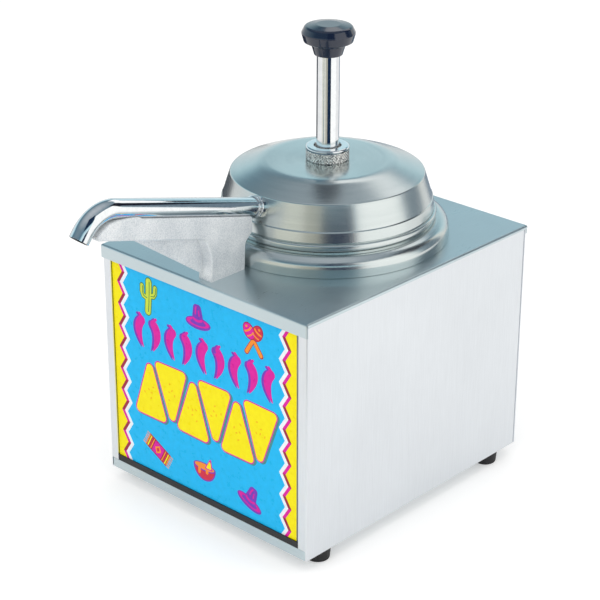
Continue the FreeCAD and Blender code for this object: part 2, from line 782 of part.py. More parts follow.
def tube_ring():
    """Welded ring round the tube where it leaves the lid, with two thin collars in front."""
    way = tube_direction()
    centre = mid(RING_Y, RING_Z)
    front = centre + way * RING_FRONT
    ring = rod(RING_RADIUS, centre - way * RING_BEHIND, front)
    rim = [edge for edge in ring.Edges if (edge.CenterOfMass - front).Length < PAST]
    ring = ring.makeFillet(RING_EDGE, rim)
    collars = [rod(radius, centre + way * start, centre + way * end) for radius, start, end in COLLARS]
    body = fused([ring] + collars)
    body = body.cut(rod(TUBE_RADIUS, centre - way * 20, centre + way * 20))
    filled = list(lid_outline())
    filled[0] = (0.0, LID_TOP)
    filled = filled[:9] + [(0.0, LID_BASE)]
    return body.cut(revolved(filled))


# ---------------------------------------------------------------- pump


def pump_cylinder():
    """Pump cylinder with a flange under the lid and a neck through it."""
    flange_top = LID_TOP - LID_SHEET
    return revolved([
        (PUMP_BORE, CYLINDER_BOTTOM),
        (CYLINDER_RADIUS, CYLINDER_BOTTOM),
        (CYLINDER_RADIUS, flange_top - CYLINDER_FLANGE_HEIGHT, 1.5),
        (CYLINDER_FLANGE_RADIUS, flange_top - CYLINDER_FLANGE_HEIGHT, 1.0),
        (CYLINDER_FLANGE_RADIUS, flange_top),
        (CYLINDER_RADIUS, flange_top),
        (CYLINDER_RADIUS, NECK_TOP, 0.6),
        (PUMP_BORE, NECK_TOP),
    ])


def plunger_bush():
    """Plastic bush that guides the plunger in the neck."""
    bore = PLUNGER_RADIUS + SLIDING_GAP
    return revolved([
        (bore, NECK_TOP - BUSH_LENGTH),
        (PUMP_BORE, NECK_TOP - BUSH_LENGTH),
        (PUMP_BORE, NECK_TOP),
        (bore, NECK_TOP),
    ])


def discharge_corners():
    """Corners of the discharge tube: up beside the cylinder, out of the lid and down at the spout."""
    way = tube_direction()
    ring = mid(RING_Y, RING_Z)
    elbow = ring + way * ((RING_Y - RISER_Y) / math.cos(TUBE_SLOPE))
    bend_start = ring + way * ((RING_Y - SPOUT_BEND_Y) / math.cos(TUBE_SLOPE))
    reach = SPOUT_BEND_RADIUS * math.tan(SPOUT_TURN / 2)
    spout_corner = bend_start + way * reach
    fall = SPOUT_TURN - TUBE_SLOPE
    down = Vector(0, -math.cos(fall), -math.sin(fall))
    return [
        (mid(RISER_Y, RISER_BOTTOM), 0.0),
        (elbow, RISER_BEND_RADIUS),
        (spout_corner, SPOUT_BEND_RADIUS),
        (spout_corner + down * (reach + SPOUT_END), 0.0),
    ]


def discharge_tube():
    """Polished tube from the valve body to the spout."""
    return pipe(discharge_corners(), TUBE_RADIUS, TUBE_BORE)


def valve_body():
    """Block at the foot of the pump with the inlet seat, the cross passage and the outlet seat."""
    body = fused([
        rod(VALVE_RADIUS, mid(0, VALVE_BOTTOM), mid(0, VALVE_TOP)),
        rod(VALVE_OUTLET_RADIUS, mid(RISER_Y, VALVE_BOTTOM), mid(RISER_Y, VALVE_TOP)),
        box(mid(RISER_Y, VALVE_BOTTOM, -VALVE_BRIDGE_HALF), mid(0, VALVE_TOP, VALVE_BRIDGE_HALF)),
    ])
    below = VALVE_BOTTOM - PAST
    above = VALVE_TOP + PAST
    return body.cut([
        rod(CYLINDER_RADIUS, mid(0, CYLINDER_BOTTOM), mid(0, above)),
        rod(INLET_CHAMBER_RADIUS, mid(0, INLET_SEAT), mid(0, above)),
        rod(INLET_HOLE, mid(0, below), mid(0, above)),
        rod(OUTLET_HOLE, mid(0, CROSS_Z), mid(RISER_Y, CROSS_Z)),
        rod(OUTLET_HOLE, mid(RISER_Y, CROSS_Z), mid(RISER_Y, above)),
        rod(OUTLET_CHAMBER_RADIUS, mid(RISER_Y, OUTLET_SEAT), mid(RISER_Y, above)),
        rod(TUBE_RADIUS, mid(RISER_Y, RISER_BOTTOM), mid(RISER_Y, above)),
    ])


def ball_on_seat(y, seat, hole, radius):
    """Ball that rests on the edge of a round hole."""
    height = math.sqrt(radius ** 2 - hole ** 2) + SEAT_GAP
    return Part.makeSphere(radius, mid(y, seat + height))


def inlet_ball():
    """Ball that lets sauce into the pump."""
    return ball_on_seat(0.0, INLET_SEAT, INLET_HOLE, INLET_BALL_RADIUS)


def outlet_ball():
    """Ball that holds sauce in the discharge tube."""
    return ball_on_seat(RISER_Y, OUTLET_SEAT, OUTLET_HOLE, OUTLET_BALL_RADIUS)


def plunger_tube():
    """Polished tube between the piston and the knob."""
    return revolved([
        (PLUNGER_RADIUS - PLUNGER_WALL, PISTON_BOTTOM + PISTON_HEIGHT),
        (PLUNGER_RADIUS, PISTON_BOTTOM + PISTON_HEIGHT),
        (PLUNGER_RADIUS, PLUNGER_TOP),
        (PLUNGER_RADIUS - PLUNGER_WALL, PLUNGER_TOP),
    ])


def piston():
    """Plastic piston with a seal groove and a spigot in the plunger tube."""
    low = PISTON_BOTTOM
    high = low + PISTON_HEIGHT
    land = PUMP_BORE - RUNNING_GAP
    spigot = PLUNGER_RADIUS - PLUNGER_WALL
    body = revolved([
        (0.0, low),
        (land, low, 0.8),
        (land, high, 0.8),
        (spigot, high),
        (spigot, high + PISTON_SPIGOT),
        (0.0, high + PISTON_SPIGOT),
    ])
    return body.cut(seal_ring())


def seal_ring():
    """Rubber ring in the piston's groove, with a sliding gap to the cylinder."""
    major = PUMP_BORE - SEAL_RADIUS - SEAL_GAP
    return Part.makeTorus(major, SEAL_RADIUS, mid(0, PISTON_BOTTOM + PISTON_HEIGHT / 2), ALONG_Z)


def return_spring():
    """Coil spring between the valve body and the piston."""
    length = PISTON_BOTTOM - CYLINDER_BOTTOM - 2 * SPRING_WIRE
    helix = Part.makeHelix(length / SPRING_TURNS, length, SPRING_RADIUS)
    wire = Part.Wire(helix.Edges)
    circle = Part.Wire(Part.makeCircle(SPRING_WIRE, Vector(SPRING_RADIUS, 0, 0), ALONG_Y))
    spring = wire.makePipeShell([circle], True, True)
    spring.translate(mid(0, CYLINDER_BOTTOM + SPRING_WIRE))
    return spring


def knob_stud():
    """Plug in the plunger's top with a threaded stud in the knob."""
    plug = PLUNGER_RADIUS - PLUNGER_WALL
    return revolved([
        (0.0, PLUNGER_TOP - KNOB_PLUG_LENGTH),
        (plug, PLUNGER_TOP - KNOB_PLUG_LENGTH),
        (plug, PLUNGER_TOP),
        (KNOB_STUD_RADIUS, PLUNGER_TOP),
        (KNOB_STUD_RADIUS, KNOB_STUD_TOP),
        (0.0, KNOB_STUD_TOP),
    ])


def knob():
    """Black moulded knob: narrow hub, wide rim and a crowned top."""
    return revolved([
        (PLUNGER_RADIUS, KNOB_BOTTOM),
        (11.6, KNOB_BOTTOM, 0.8),
        (14.3, 163.4, 1.2),
        (20.2, 165.6, 1.2),
        (KNOB_RADIUS, 173.0, 2.0),
        (19.5, 178.6, 3.0),
        (10.0, KNOB_TOP, 8.0),
        (0.0, KNOB_TOP),
        (0.0, KNOB_STUD_TOP),
        (KNOB_STUD_RADIUS, KNOB_STUD_TOP),
        (KNOB_STUD_RADIUS, PLUNGER_TOP),
        (PLUNGER_RADIUS, PLUNGER_TOP),
    ])


def lock_nut():
    """Round nut that clamps the pump to the lid, fluted for the fingers."""
    bore = CYLINDER_RADIUS + SEAT_GAP
    nut = revolved([
        (bore, LID_TOP),
        (NUT_RADIUS, LID_TOP, 0.6),
        (NUT_RADIUS, NUT_TOP, 1.6),
        (NUT_RECESS_RADIUS, NUT_TOP, 0.5),
        (NUT_RECESS_RADIUS, NUT_RECESS),
        (bore, NUT_RECESS),
    ])
    flutes = []
    for i in range(NUT_FLUTES):
        angle = 2 * math.pi * i / NUT_FLUTES
        x = (NUT_RADIUS + NUT_FLUTE_RADIUS / 2) * math.cos(angle)
        y = (NUT_RADIUS + NUT_FLUTE_RADIUS / 2) * math.sin(angle)
        flutes.append(rod(NUT_FLUTE_RADIUS, mid(y, NUT_FLUTE_BOTTOM, x), mid(y, NUT_FLUTE_TOP, x)))
    return nut.cut(flutes)


# ---------------------------------------------------------------- cast arm


def arm_top(y):
    """Height of the arm's upper edge above the cover."""
    return ARM_TOP_AT_REAR + ARM_TOP_SLOPE * (ARM_REAR - y)


def arm_under(y):
    """Height of the arm's lower edge above the cover."""
    return ARM_UNDER_AT_WEB + ARM_UNDER_SLOPE * (ARM_WEB_FRONT - y)


def with_round_edges(arm, side):
    """The arm with the edges of one side face rounded, all but the one under its foot."""
    edges = []
    for edge in arm.Edges:
        bounds = edge.BoundBox
        inner = bounds.XMin if side > 0 else -bounds.XMax
        if inner > ARM_HALF - FIT_GAP and bounds.ZMax > TOP_Z + PAST:
            edges.append(edge)
    return arm.makeFillet(ARM_EDGE, edges)


def spout_arm():
    """Cast arm: post, sloping bar with a trough for the tube, and a thin web behind the arch."""
    outline = [
        (-144.2, 0.0),
        (-106.0, 0.0),
        (-105.2, 22.7, 6.0),
        (ARM_REAR, 29.8, 5.0),
        (ARM_REAR, arm_top(ARM_REAR), 2.0),
        (-214.6, arm_top(-214.6), 3.0),
        (-218.6, arm_top(-218.6) + 1.6, 2.0),
        (-225.0, arm_top(-225.0) + 1.2, 3.0),
        (-238.0, 80.9, 12.0),
        (-247.5, 80.6, 10.0),
        (-256.5, 76.0, 10.0),
        (-262.6, arm_under(-262.6), 2.0),
        (-150.0, arm_under(-150.0), 9.0),
        (-142.8, 21.3, 20.0),
    ]
    arm = with_round_edges(plate_yz(outline, -ARM_HALF, ARM_HALF), 1)
    web = plate_yz([
        (ARM_WEB_REAR, 2.6),
        (ARM_WEB_REAR, 40.0),
        (ARM_WEB_FRONT, ARM_UNDER_AT_WEB + 4.0),
        (ARM_WEB_FRONT, ARM_UNDER_AT_WEB),
    ], -ARM_HALF, -ARM_HALF + ARM_WEB)
    arm = with_round_edges(fused([arm, web]), -1)
    arm = arm.cut(pipe(discharge_corners(), TROUGH_RADIUS))
    for y in ARM_SCREW_Y:
        arm = arm.cut(rod(ARM_SCREW_RADIUS, mid(y, -PAST), mid(y, ARM_SCREW_DEPTH)))
    start, end = cartridge_ends()
    arm = arm.cut(rod(CARTRIDGE_RADIUS, start, end))
    return arm.cut(rod(ARM_WIRE_RADIUS, mid(ARM_WIRE_Y, -PAST), wire_top()))


def cartridge_ends():
    """Ends of the cartridge heater's bore, which runs along the bar from its rear face."""
    way = tube_direction()
    start = mid(ARM_REAR + 2.0, CARTRIDGE_Z)
    return start, start + way * (CARTRIDGE_LENGTH + 2.0)


def wire_top():
    """Top of the wire hole, on the cartridge's axis."""
    return mid(ARM_WIRE_Y, CARTRIDGE_Z + math.tan(TUBE_SLOPE) * (ARM_REAR + 2.0 - ARM_WIRE_Y))


def spout_heater():
    """Cartridge heater that warms the arm."""
    way = tube_direction()
    start, end = cartridge_ends()
    return rod(CARTRIDGE_RADIUS, start + way * CARTRIDGE_SETBACK, end)


def arm_screws():
    """Two screws up through the cover into the arm's post."""
    screws = []
    for y in ARM_SCREW_Y:
        head = rod(ARM_SCREW_HEAD_RADIUS, mid(y, -SHEET - ARM_SCREW_HEAD_HEIGHT), mid(y, -SHEET))
        screws.append(fused([head, rod(ARM_SCREW_RADIUS, mid(y, -SHEET), mid(y, ARM_SCREW_DEPTH))]))
    return Part.makeCompound(screws)


# ---------------------------------------------------------------- controls


def thermostat_body():
    """Thermostat behind the rear panel with a bore for its shaft."""
    back = REAR_Y - SHEET
    low = (CONTROL_X - THERMOSTAT_HALF_X, back - THERMOSTAT_DEPTH, DIAL_Z - THERMOSTAT_HALF_Z)
    body = box(low, (CONTROL_X + THERMOSTAT_HALF_X, back, DIAL_Z + THERMOSTAT_HALF_Z))
    body = body.makeFillet(2.0, [edge for edge in body.Edges if edge.BoundBox.YLength > PAST])
    start = (CONTROL_X, REAR_Y - SHAFT_HOLE_DEPTH, DIAL_Z)
    return body.cut(rod(SHAFT_RADIUS + SEAL_GAP, start, (CONTROL_X, REAR_Y, DIAL_Z)))


def thermostat_shaft():
    """Shaft from the thermostat through the rear panel into the dial."""
    start = (CONTROL_X, REAR_Y - SHAFT_BACK, DIAL_Z)
    return rod(SHAFT_RADIUS, start, (CONTROL_X, REAR_Y + SHAFT_REACH, DIAL_Z))


def thermostat_dial():
    """Dial with a skirt and a finger grip across it."""
    reach = REAR_REACH - (BODY_DEPTH - FRONT_TO_VESSEL)
    skirt = turned_back([
        (SHAFT_RADIUS, RUNNING_GAP),
        (DIAL_RADIUS, RUNNING_GAP, 0.6),
        (DIAL_RADIUS - 1.0, 5.0, 1.0),
        (13.0, 7.0, 1.0),
        (12.0, 9.0),
        (0.0, 9.0),
        (0.0, 8.0),
        (SHAFT_RADIUS, 8.0),
    ], CONTROL_X, DIAL_Z)
    low = (CONTROL_X - DIAL_GRIP_HALF, REAR_Y + 5.0, DIAL_Z - DIAL_GRIP_REACH)
    grip = box(low, (CONTROL_X + DIAL_GRIP_HALF, REAR_Y + reach, DIAL_Z + DIAL_GRIP_REACH))
    grip = grip.makeFillet(2.0, [edge for edge in grip.Edges if edge.BoundBox.YMin > REAR_Y + 5.0 + PAST])
    dial = fused([skirt, grip])
    return dial.cut(rod(SHAFT_RADIUS, (CONTROL_X, REAR_Y, DIAL_Z), (CONTROL_X, REAR_Y + SHAFT_REACH, DIAL_Z)))


def bulb_centre():
    """Plan place of the sensing bulb on the vessel's wall."""
    radius = VESSEL_WALL_RADIUS + BULB_RADIUS + SEAT_GAP
    return radius * math.cos(BULB_ANGLE), VESSEL_Y + radius * math.sin(BULB_ANGLE)


def thermostat_bulb():
    """Sensing bulb clipped to the vessel's wall."""
    x, y = bulb_centre()
    return rod(BULB_RADIUS, (x, y, BULB_LOW), (x, y, BULB_HIGH))


def bulb_clip():
    """Spring band that holds the bulb against the vessel."""
    x, y = bulb_centre()
    low = CLIP_LOW - PAST
    high = CLIP_HIGH + PAST
    clip = rod(BULB_RADIUS + 1.0, (x, y, CLIP_LOW), (x, y, CLIP_HIGH))
    clip = clip.cut(rod(BULB_RADIUS, (x, y, low), (x, y, high)))
    return clip.cut(rod(VESSEL_WALL_RADIUS, (0, VESSEL_Y, low), (0, VESSEL_Y, high)))


def thermostat_capillary():
    """Thin copper line from the thermostat down and across to the bulb."""
    x, y = bulb_centre()
    start = Vector(CONTROL_X, REAR_Y - CAPILLARY_BEHIND, DIAL_Z - THERMOSTAT_HALF_Z)
    return pipe([
        (start, 0.0),
        (Vector(start.x, start.y, CAPILLARY_LOW), CAPILLARY_BEND),
        (Vector(x, y, CAPILLARY_LOW), CAPILLARY_BEND),
        (Vector(x, y, BULB_LOW), 0.0),
    ], CAPILLARY_RADIUS)


def switch_bezel():
    """Frame of the rocker switch, snapped into the rear panel."""
    half_x = SWITCH_HALF_X
    half_z = SWITCH_HALF_Z
    body_low = (CONTROL_X - half_x, REAR_Y - SWITCH_DEPTH, SWITCH_Z - half_z)
    body = box(body_low, (CONTROL_X + half_x, REAR_Y, SWITCH_Z + half_z))
    rim_x = half_x + SWITCH_RIM
    rim_z = half_z + SWITCH_RIM
    rim_low = (CONTROL_X - rim_x, REAR_Y, SWITCH_Z - rim_z)
    rim_high = (CONTROL_X + rim_x, REAR_Y + SWITCH_RIM_HEIGHT, SWITCH_Z + rim_z)
    bezel = fused([body, box(rim_low, rim_high)])
    well_x = half_x - SWITCH_WALL_X
    well_z = half_z - SWITCH_WALL_Z
    well_low = (CONTROL_X - well_x, REAR_Y - SWITCH_WELL_DEPTH, SWITCH_Z - well_z)
    well_high = (CONTROL_X + well_x, REAR_Y + SWITCH_RIM_HEIGHT + PAST, SWITCH_Z + well_z)
    return bezel.cut(box(well_low, well_high))


def switch_rocker():
    """Rocker that tips about a pin across the switch."""
    half_x = SWITCH_HALF_X - SWITCH_WALL_X - RUNNING_GAP

    def place(back, up):
        return Vector(CONTROL_X - half_x, SWITCH_PIVOT_Y + back, SWITCH_Z + up)
    outline = [
        (-5.0, -6.0, 1.0),
        (-1.0, -10.4, 1.0),
        (3.2, -10.2, 1.0),
        (1.2, 0.0, 6.0),
        (3.2, 10.2, 1.0),
        (-1.0, 10.4, 1.0),
        (-5.0, 6.0, 1.0),
    ]
    rocker = face_of(outline, place).extrude(ALONG_X * (2 * half_x))
    rocker.rotate(Vector(CONTROL_X, SWITCH_PIVOT_Y, SWITCH_Z), ALONG_X, SWITCH_TIP)
    return rocker


def pilot_light():
    """Round lens of the heat lamp with its body behind the panel."""
    return turned_back([
        (0.0, -14.0),
        (PILOT_RADIUS, -14.0),
        (PILOT_RADIUS, 0.0),
        (PILOT_RADIUS + 1.6, 0.0),
        (PILOT_RADIUS + 1.6, 1.4, 0.6),
        (PILOT_RADIUS - 0.6, 1.4),
        (PILOT_RADIUS - 1.0, 4.0, 2.0),
        (0.0, 5.4),
    ], CONTROL_X, PILOT_Z)


def cord_bushing():
    """Strain-relief bushing for the power cord."""
    return turned_back([
        (BUSHING_BORE, -9.0),
        (BUSHING_RADIUS - 1.0, -9.0),
        (BUSHING_RADIUS, -2.0),
        (BUSHING_RADIUS, 0.0),
        (BUSHING_RADIUS + 2.5, 0.0),
        (BUSHING_RADIUS + 2.5, 2.6, 1.0),
        (BUSHING_RADIUS - 1.5, 4.0, 1.0),
        (BUSHING_RADIUS - 2.5, 11.0, 1.0),
        (BUSHING_BORE, 11.0),
    ], BUSHING_X, BUSHING_Z)


def terminal_block():
    """Block that joins the cord's wires to the heaters and the lamp."""
    width, depth, height = BLOCK_SIZE
    low = Vector(BLOCK_LEFT, REAR_Y - BLOCK_AHEAD_OF_REAR, FOOT_HEIGHT + SHEET)
    block = box(low, low + Vector(width, depth, height))
    holes = []
    for i in range(BLOCK_HOLES):
        y = depth / 2 + BLOCK_HOLE_PITCH * (i - (BLOCK_HOLES - 1) / 2)
        top = low + Vector(width / 2, y, height)
        holes.append(rod(BLOCK_HOLE_RADIUS, top - ALONG_Z * BLOCK_HOLE_DEPTH, top + ALONG_Z * PAST))
    return block.cut(holes)


# ---------------------------------------------------------------- export

NODES = {
    "top_cover": top_cover,
    "base_pan": base_pan,
    "rear_panel": rear_panel,
    "rear_panel_screws": rear_screws,
    "rubber_feet": feet,
    "foot_screws": foot_screws,
    "sign_panel": sign_panel,
    "sign_channel": sign_channel,
    "sign_frame": sign_frame,
    "lamp_bulb": lamp_bulb,
    "lamp_cap": lamp_cap,
    "lamp_socket": lamp_socket,
    "lamp_bracket": lamp_bracket,
    "light_shield": light_shield,
    "water_vessel": water_vessel,
    "vessel_stud": vessel_stud,
    "heating_element": heating_element,
    "heater_plate": heater_plate,
    "heater_nut": heater_nut,
    "inset_jar": inset_jar,
    "pump_lid": pump_lid,
    "tube_ring": tube_ring,
    "pump_cylinder": pump_cylinder,
    "plunger_bush": plunger_bush,
    "discharge_tube": discharge_tube,
    "valve_body": valve_body,
    "inlet_ball": inlet_ball,
    "outlet_ball": outlet_ball,
    "plunger_tube": plunger_tube,
    "piston": piston,
    "piston_seal": seal_ring,
    "return_spring": return_spring,
    "knob_stud": knob_stud,
    "plunger_knob": knob,
    "lock_nut": lock_nut,
    "spout_warmer_arm": spout_arm,
    "spout_heater": spout_heater,
    "arm_screws": arm_screws,
    "thermostat_body": thermostat_body,
    "thermostat_shaft": thermostat_shaft,
    "thermostat_dial": thermostat_dial,
    "thermostat_bulb": thermostat_bulb,
    "thermostat_capillary": thermostat_capillary,
    "bulb_clip": bulb_clip,
    "switch_bezel": switch_bezel,
    "switch_rocker": switch_rocker,
    "pilot_light": pilot_light,
    "cord_bushing": cord_bushing,
    "terminal_block": terminal_block,
    "left_side_panel": left_side_panel,
    "right_side_panel": right_side_panel,
}

os.makedirs("parts", exist_ok=True)
for name, make in NODES.items():
    make().exportStep("parts/" + name + ".step")
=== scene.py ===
"""Looks of a countertop nacho cheese dispenser.

A boxed steel warmer with a printed sign, a spun lid with its pump, and a spout over a cast arm.
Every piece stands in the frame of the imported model, in metres. Numbers given in millimetres are
multiplied by MM. Heights are above the top cover and depths are from the pump's axis, unless they
are said to be something else.
"""

import math

import bmesh
import bpy
from mathutils import Matrix, Vector, noise


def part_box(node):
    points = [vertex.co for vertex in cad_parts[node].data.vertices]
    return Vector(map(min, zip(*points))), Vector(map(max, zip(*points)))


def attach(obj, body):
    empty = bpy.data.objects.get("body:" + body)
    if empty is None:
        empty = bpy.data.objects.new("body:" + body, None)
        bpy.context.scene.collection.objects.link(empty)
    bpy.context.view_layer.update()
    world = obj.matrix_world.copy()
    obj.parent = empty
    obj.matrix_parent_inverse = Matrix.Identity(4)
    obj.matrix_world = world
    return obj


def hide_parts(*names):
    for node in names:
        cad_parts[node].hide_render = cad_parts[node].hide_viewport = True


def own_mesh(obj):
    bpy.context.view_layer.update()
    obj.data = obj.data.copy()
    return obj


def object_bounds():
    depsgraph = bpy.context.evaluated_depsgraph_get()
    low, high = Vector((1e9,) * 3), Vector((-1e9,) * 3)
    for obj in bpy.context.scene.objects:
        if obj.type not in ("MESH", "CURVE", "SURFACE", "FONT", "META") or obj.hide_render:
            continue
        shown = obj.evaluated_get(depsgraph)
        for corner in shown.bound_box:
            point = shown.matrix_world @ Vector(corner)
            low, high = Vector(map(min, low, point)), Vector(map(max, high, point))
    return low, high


MM = 0.001
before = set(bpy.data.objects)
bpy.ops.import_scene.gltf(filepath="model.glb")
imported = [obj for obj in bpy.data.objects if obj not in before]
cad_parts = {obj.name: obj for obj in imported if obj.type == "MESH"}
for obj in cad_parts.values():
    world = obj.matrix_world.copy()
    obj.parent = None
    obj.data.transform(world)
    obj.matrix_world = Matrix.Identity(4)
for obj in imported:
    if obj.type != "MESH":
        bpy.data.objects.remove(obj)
cad_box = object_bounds()


def middle(node):
    """Centre of a CAD node's box."""
    low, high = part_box(node)
    return (low + high) / 2


AXIS = middle("inset_jar")
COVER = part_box("top_cover")[1].z

# Meshes: points nearer than this merge, and how strongly large faces set the shading.
MERGE_DISTANCE = 0.002
SHADING_WEIGHT = 80

# Outlines of the turned parts: (radius, height, fillet) corners in millimetres.
LID_OUTLINE = [
    (14.2, 65), (55, 65, 30), (81.5, 55, 1.8), (88.0, 34.1, 0.5), (88.9, 33.2, 0.4), (89.9, 24.8, 0.5),
    (89.1, 24.3, 0.2), (89.1, 23.8, 0.2), (92, 23.8, 2), (92, 17.3, 3), (85.9, 17.3, 1), (87.1, 33.1, 1),
    (80.3, 53.8, 1), (53.8, 63.8, 28.8), (14.2, 63.8),
]
VESSEL_OUTLINE = [
    (101.8, 0.05), (103, 0.05, 0.3), (102.9, 11.2, 8.6), (95.8, 16.3, 11), (87, 16.3, 1.8), (87, -187, 9),
    (0, -187), (0, -188), (88, -188, 10), (88, 15.1, 0.6), (95.4, 15.1, 9), (101.7, 10.6, 7),
]
KNOB_OUTLINE = [
    (9.6, 154.5), (11.6, 154.5, 0.8), (14.3, 163.4, 1.2), (20.2, 165.6, 1.2), (22.3, 173, 2),
    (19.5, 178.6, 3), (10, 180, 8), (0, 180), (0, 168), (9.6, 168),
]

# Plunger and lock nut. The nut's bore is wider under its collar, and its lower part is knurled: faces
# within KNURL_SKIN of its outside take that finish. Radii closer than CLOSE count as the same.
PLUNGER_RADIUS = 9.5
PLUNGER_BORE = 8.3
PLUNGER_TOP = 168
PLUNGER_RIM = 0.5
NUT_RADIUS = 18.3
NUT_BASE = 65
NUT_TOP = 76.8
NUT_SHOULDER = 1.6
NUT_CHAMFER = 0.6
NUT_BORE = 14.1
COLLAR_BASE = 74
COLLAR_BORE = 11.5
COLLAR_ROUND = 0.5
KNURL_TEETH = 44
KNURL_STEPS = 6
KNURL_DEPTH = 0.8
KNURL_TOP = 73.6
KNURL_ROWS = 32
KNURL_SKIN = 1
CLOSE = 0.01

# Discharge tube: up beside the pump, out through the lid and down at the spout.
TUBE_RADIUS = 8
TUBE_BORE = 7
TUBE_SLOPE = 0.2785
RISER_DEPTH = -26
RISER_FOOT = -136
RISER_BEND = 24
RING_DEPTH = -85.9
RING_HEIGHT = 45.9
SPOUT_DEPTH = -235.67
SPOUT_BEND = 31.3
SPOUT_TURN = 1.167
SPOUT_END = 5.9

# Brazed ring round the tube, as (radius, distance along the tube, fillet) corners. The bead up to
# LUMPS_TOP is sunk a little and has broad lumps and fine ones, the fine ones FINER times closer.
RING_RADIUS = 10
RING_OUTLINE = [
    (TUBE_RADIUS, -3.5), (RING_RADIUS, -3.5, 0.8), (RING_RADIUS, 2.4, 1.4), (8.9, 2.4, 0.2),
    (8.9, 3.4, 0.2), (9.4, 3.4, 0.3), (9.4, 4.6, 0.4), (TUBE_RADIUS, 4.6),
]
LUMPS_TOP = 2.5
LUMPS_SINK = 0.45
LUMPS_BROAD = 0.5
LUMPS_FINE = 0.3
LUMPS_ROUND = 3
LUMPS_ALONG = 0.4
FINER = 3

# Printed marks round the thermostat's dial, over its three quarters of a turn. They grow along the way.
DIAL_MARKS = 10
DIAL_SWEEP = 270
MARK_GAP = 2.0
MARK_LENGTH = 2.04
MARK_WIDTH = 0.9
MARK_RAISE = 0.05

# Camera, from the centre of the whole object's box.
CAMERA_AZIMUTH = math.radians(42.9)
CAMERA_ELEVATION = math.radians(24.4)
CAMERA_ROLL = math.radians(0.14)
CAMERA_DISTANCE = 1569.6
CAMERA_AIM = (21.6, 8.3, -18.6)
CAMERA_LENS = 113.7


def point(depth, height, side=0.0):
    """Place in metres from millimetres: depth from the pump's axis, height above the cover."""
    return Vector((AXIS.x + side * MM, AXIS.y + depth * MM, COVER + height * MM))


# ---------------------------------------------------------------- meshes


def rounded(corners, steps=8):
    """Outline through 2D corners (a, b) or (a, b, fillet), with each fillet drawn as an arc."""
    outline = []
    for i, corner in enumerate(corners):
        here = Vector(corner[:2])
        if len(corner) == 2:
            outline.append(here)
            continue
        before = (Vector(corners[i - 1][:2]) - here).normalized()
        after = (Vector(corners[(i + 1) % len(corners)][:2]) - here).normalized()
        half = before.angle(after) / 2
        reach = corner[2] / math.tan(half)
        centre = here + (before + after).normalized() * corner[2] / math.sin(half)
        start = here + before * reach - centre
        end = here + after * reach - centre
        first = math.atan2(start.y, start.x)
        turn = math.atan2(start.x * end.y - start.y * end.x, start.dot(end))
        for k in range(steps + 1):
            angle = first + turn * k / steps
            outline.append(centre + Vector((math.cos(angle), math.sin(angle))) * corner[2])
    return outline


def new_mesh(name, verts, faces, smooth=True):
    """Mesh with its double points merged and its faces turned outwards."""
    mesh = bpy.data.meshes.new(name)
    mesh.from_pydata(verts, [], faces)
    work = bmesh.new()
    work.from_mesh(mesh)
    bmesh.ops.remove_doubles(work, verts=work.verts, dist=MERGE_DISTANCE * MM)
    bmesh.ops.recalc_face_normals(work, faces=work.faces)
    for face in work.faces:
        face.smooth = smooth
    work.to_mesh(mesh)
    work.free()
    return mesh


def add_piece(mesh, finish, body, slot, *nodes, weighted=True):
    """Shows a mesh as a piece of a body, in place of the CAD nodes that are named."""
    piece = bpy.data.objects.new(mesh.name, mesh)
    bpy.context.scene.collection.objects.link(piece)
    for material in finish if isinstance(finish, list) else [finish]:
        mesh.materials.append(material)
    if weighted:
        modifier = piece.modifiers.new("even_shading", "WEIGHTED_NORMAL")
        modifier.weight = SHADING_WEIGHT
    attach(piece, body)
    if nodes:
        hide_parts(*nodes)
    return piece


def rings_to_mesh(name, rings):
    """Closed skin over rings of points, each joined to the next and the last to the first."""
    count = len(rings[0])
    verts = [p for ring in rings for p in ring]
    faces = []
    for i in range(len(rings)):
        after = (i + 1) % len(rings)
        for k in range(count):
            side = (k + 1) % count
            faces.append((i * count + k, i * count + side, after * count + side, after * count + k))
    return new_mesh(name, verts, faces)


def revolved(name, outline, centre=None, steps=192, wave=None):
    """Closed outline of (radius, height) turned about an upright axis. wave changes a point's radius."""
    centre = centre or point(0, 0)
    rings = []
    for radius, height in outline:
        ring = []
        for k in range(steps):
            angle = 2 * math.pi * k / steps
            reach = (wave(radius, height, angle) if wave else radius) * MM
            ring.append(centre + Vector((reach * math.cos(angle), reach * math.sin(angle), height * MM)))
        rings.append(ring)
    return rings_to_mesh(name, rings)


def swept(name, path, radius, bore, sides=64, rim_steps=8):
    """Pipe of round section along a path of (depth, height) points, with rounded rims."""
    wall = (radius - bore) / 2
    ways = []
    for i in range(len(path)):
        ways.append((path[min(i + 1, len(path) - 1)] - path[max(i - 1, 0)]).normalized())
    stations = [(p, w, radius) for p, w in zip(path, ways)]
    stations += rim(path[-1], ways[-1], radius - wall, wall, rim_steps)
    stations += [(p, w, bore) for p, w in zip(reversed(path), reversed(ways))]
    stations += rim(path[0], -ways[0], radius - wall, -wall, rim_steps)
    rings = []
    for place, way, reach in stations:
        ring = []
        for k in range(sides):
            angle = 2 * math.pi * k / sides
            out = reach * math.cos(angle)
            ring.append(point(place.x - way.y * out, place.y + way.x * out, reach * math.sin(angle)))
        rings.append(ring)
    return rings_to_mesh(name, rings)


def rim(place, way, middle_radius, half_wall, steps):
    """Stations round the rounded end of a pipe wall, from the outside to the inside."""
    side = way if half_wall > 0 else -way
    stations = []
    for k in range(1, steps):
        angle = math.pi * k / steps
        ahead = abs(half_wall) * math.sin(angle) - abs(half_wall)
        stations.append((place + way * ahead, side, middle_radius + half_wall * math.cos(angle)))
    return stations


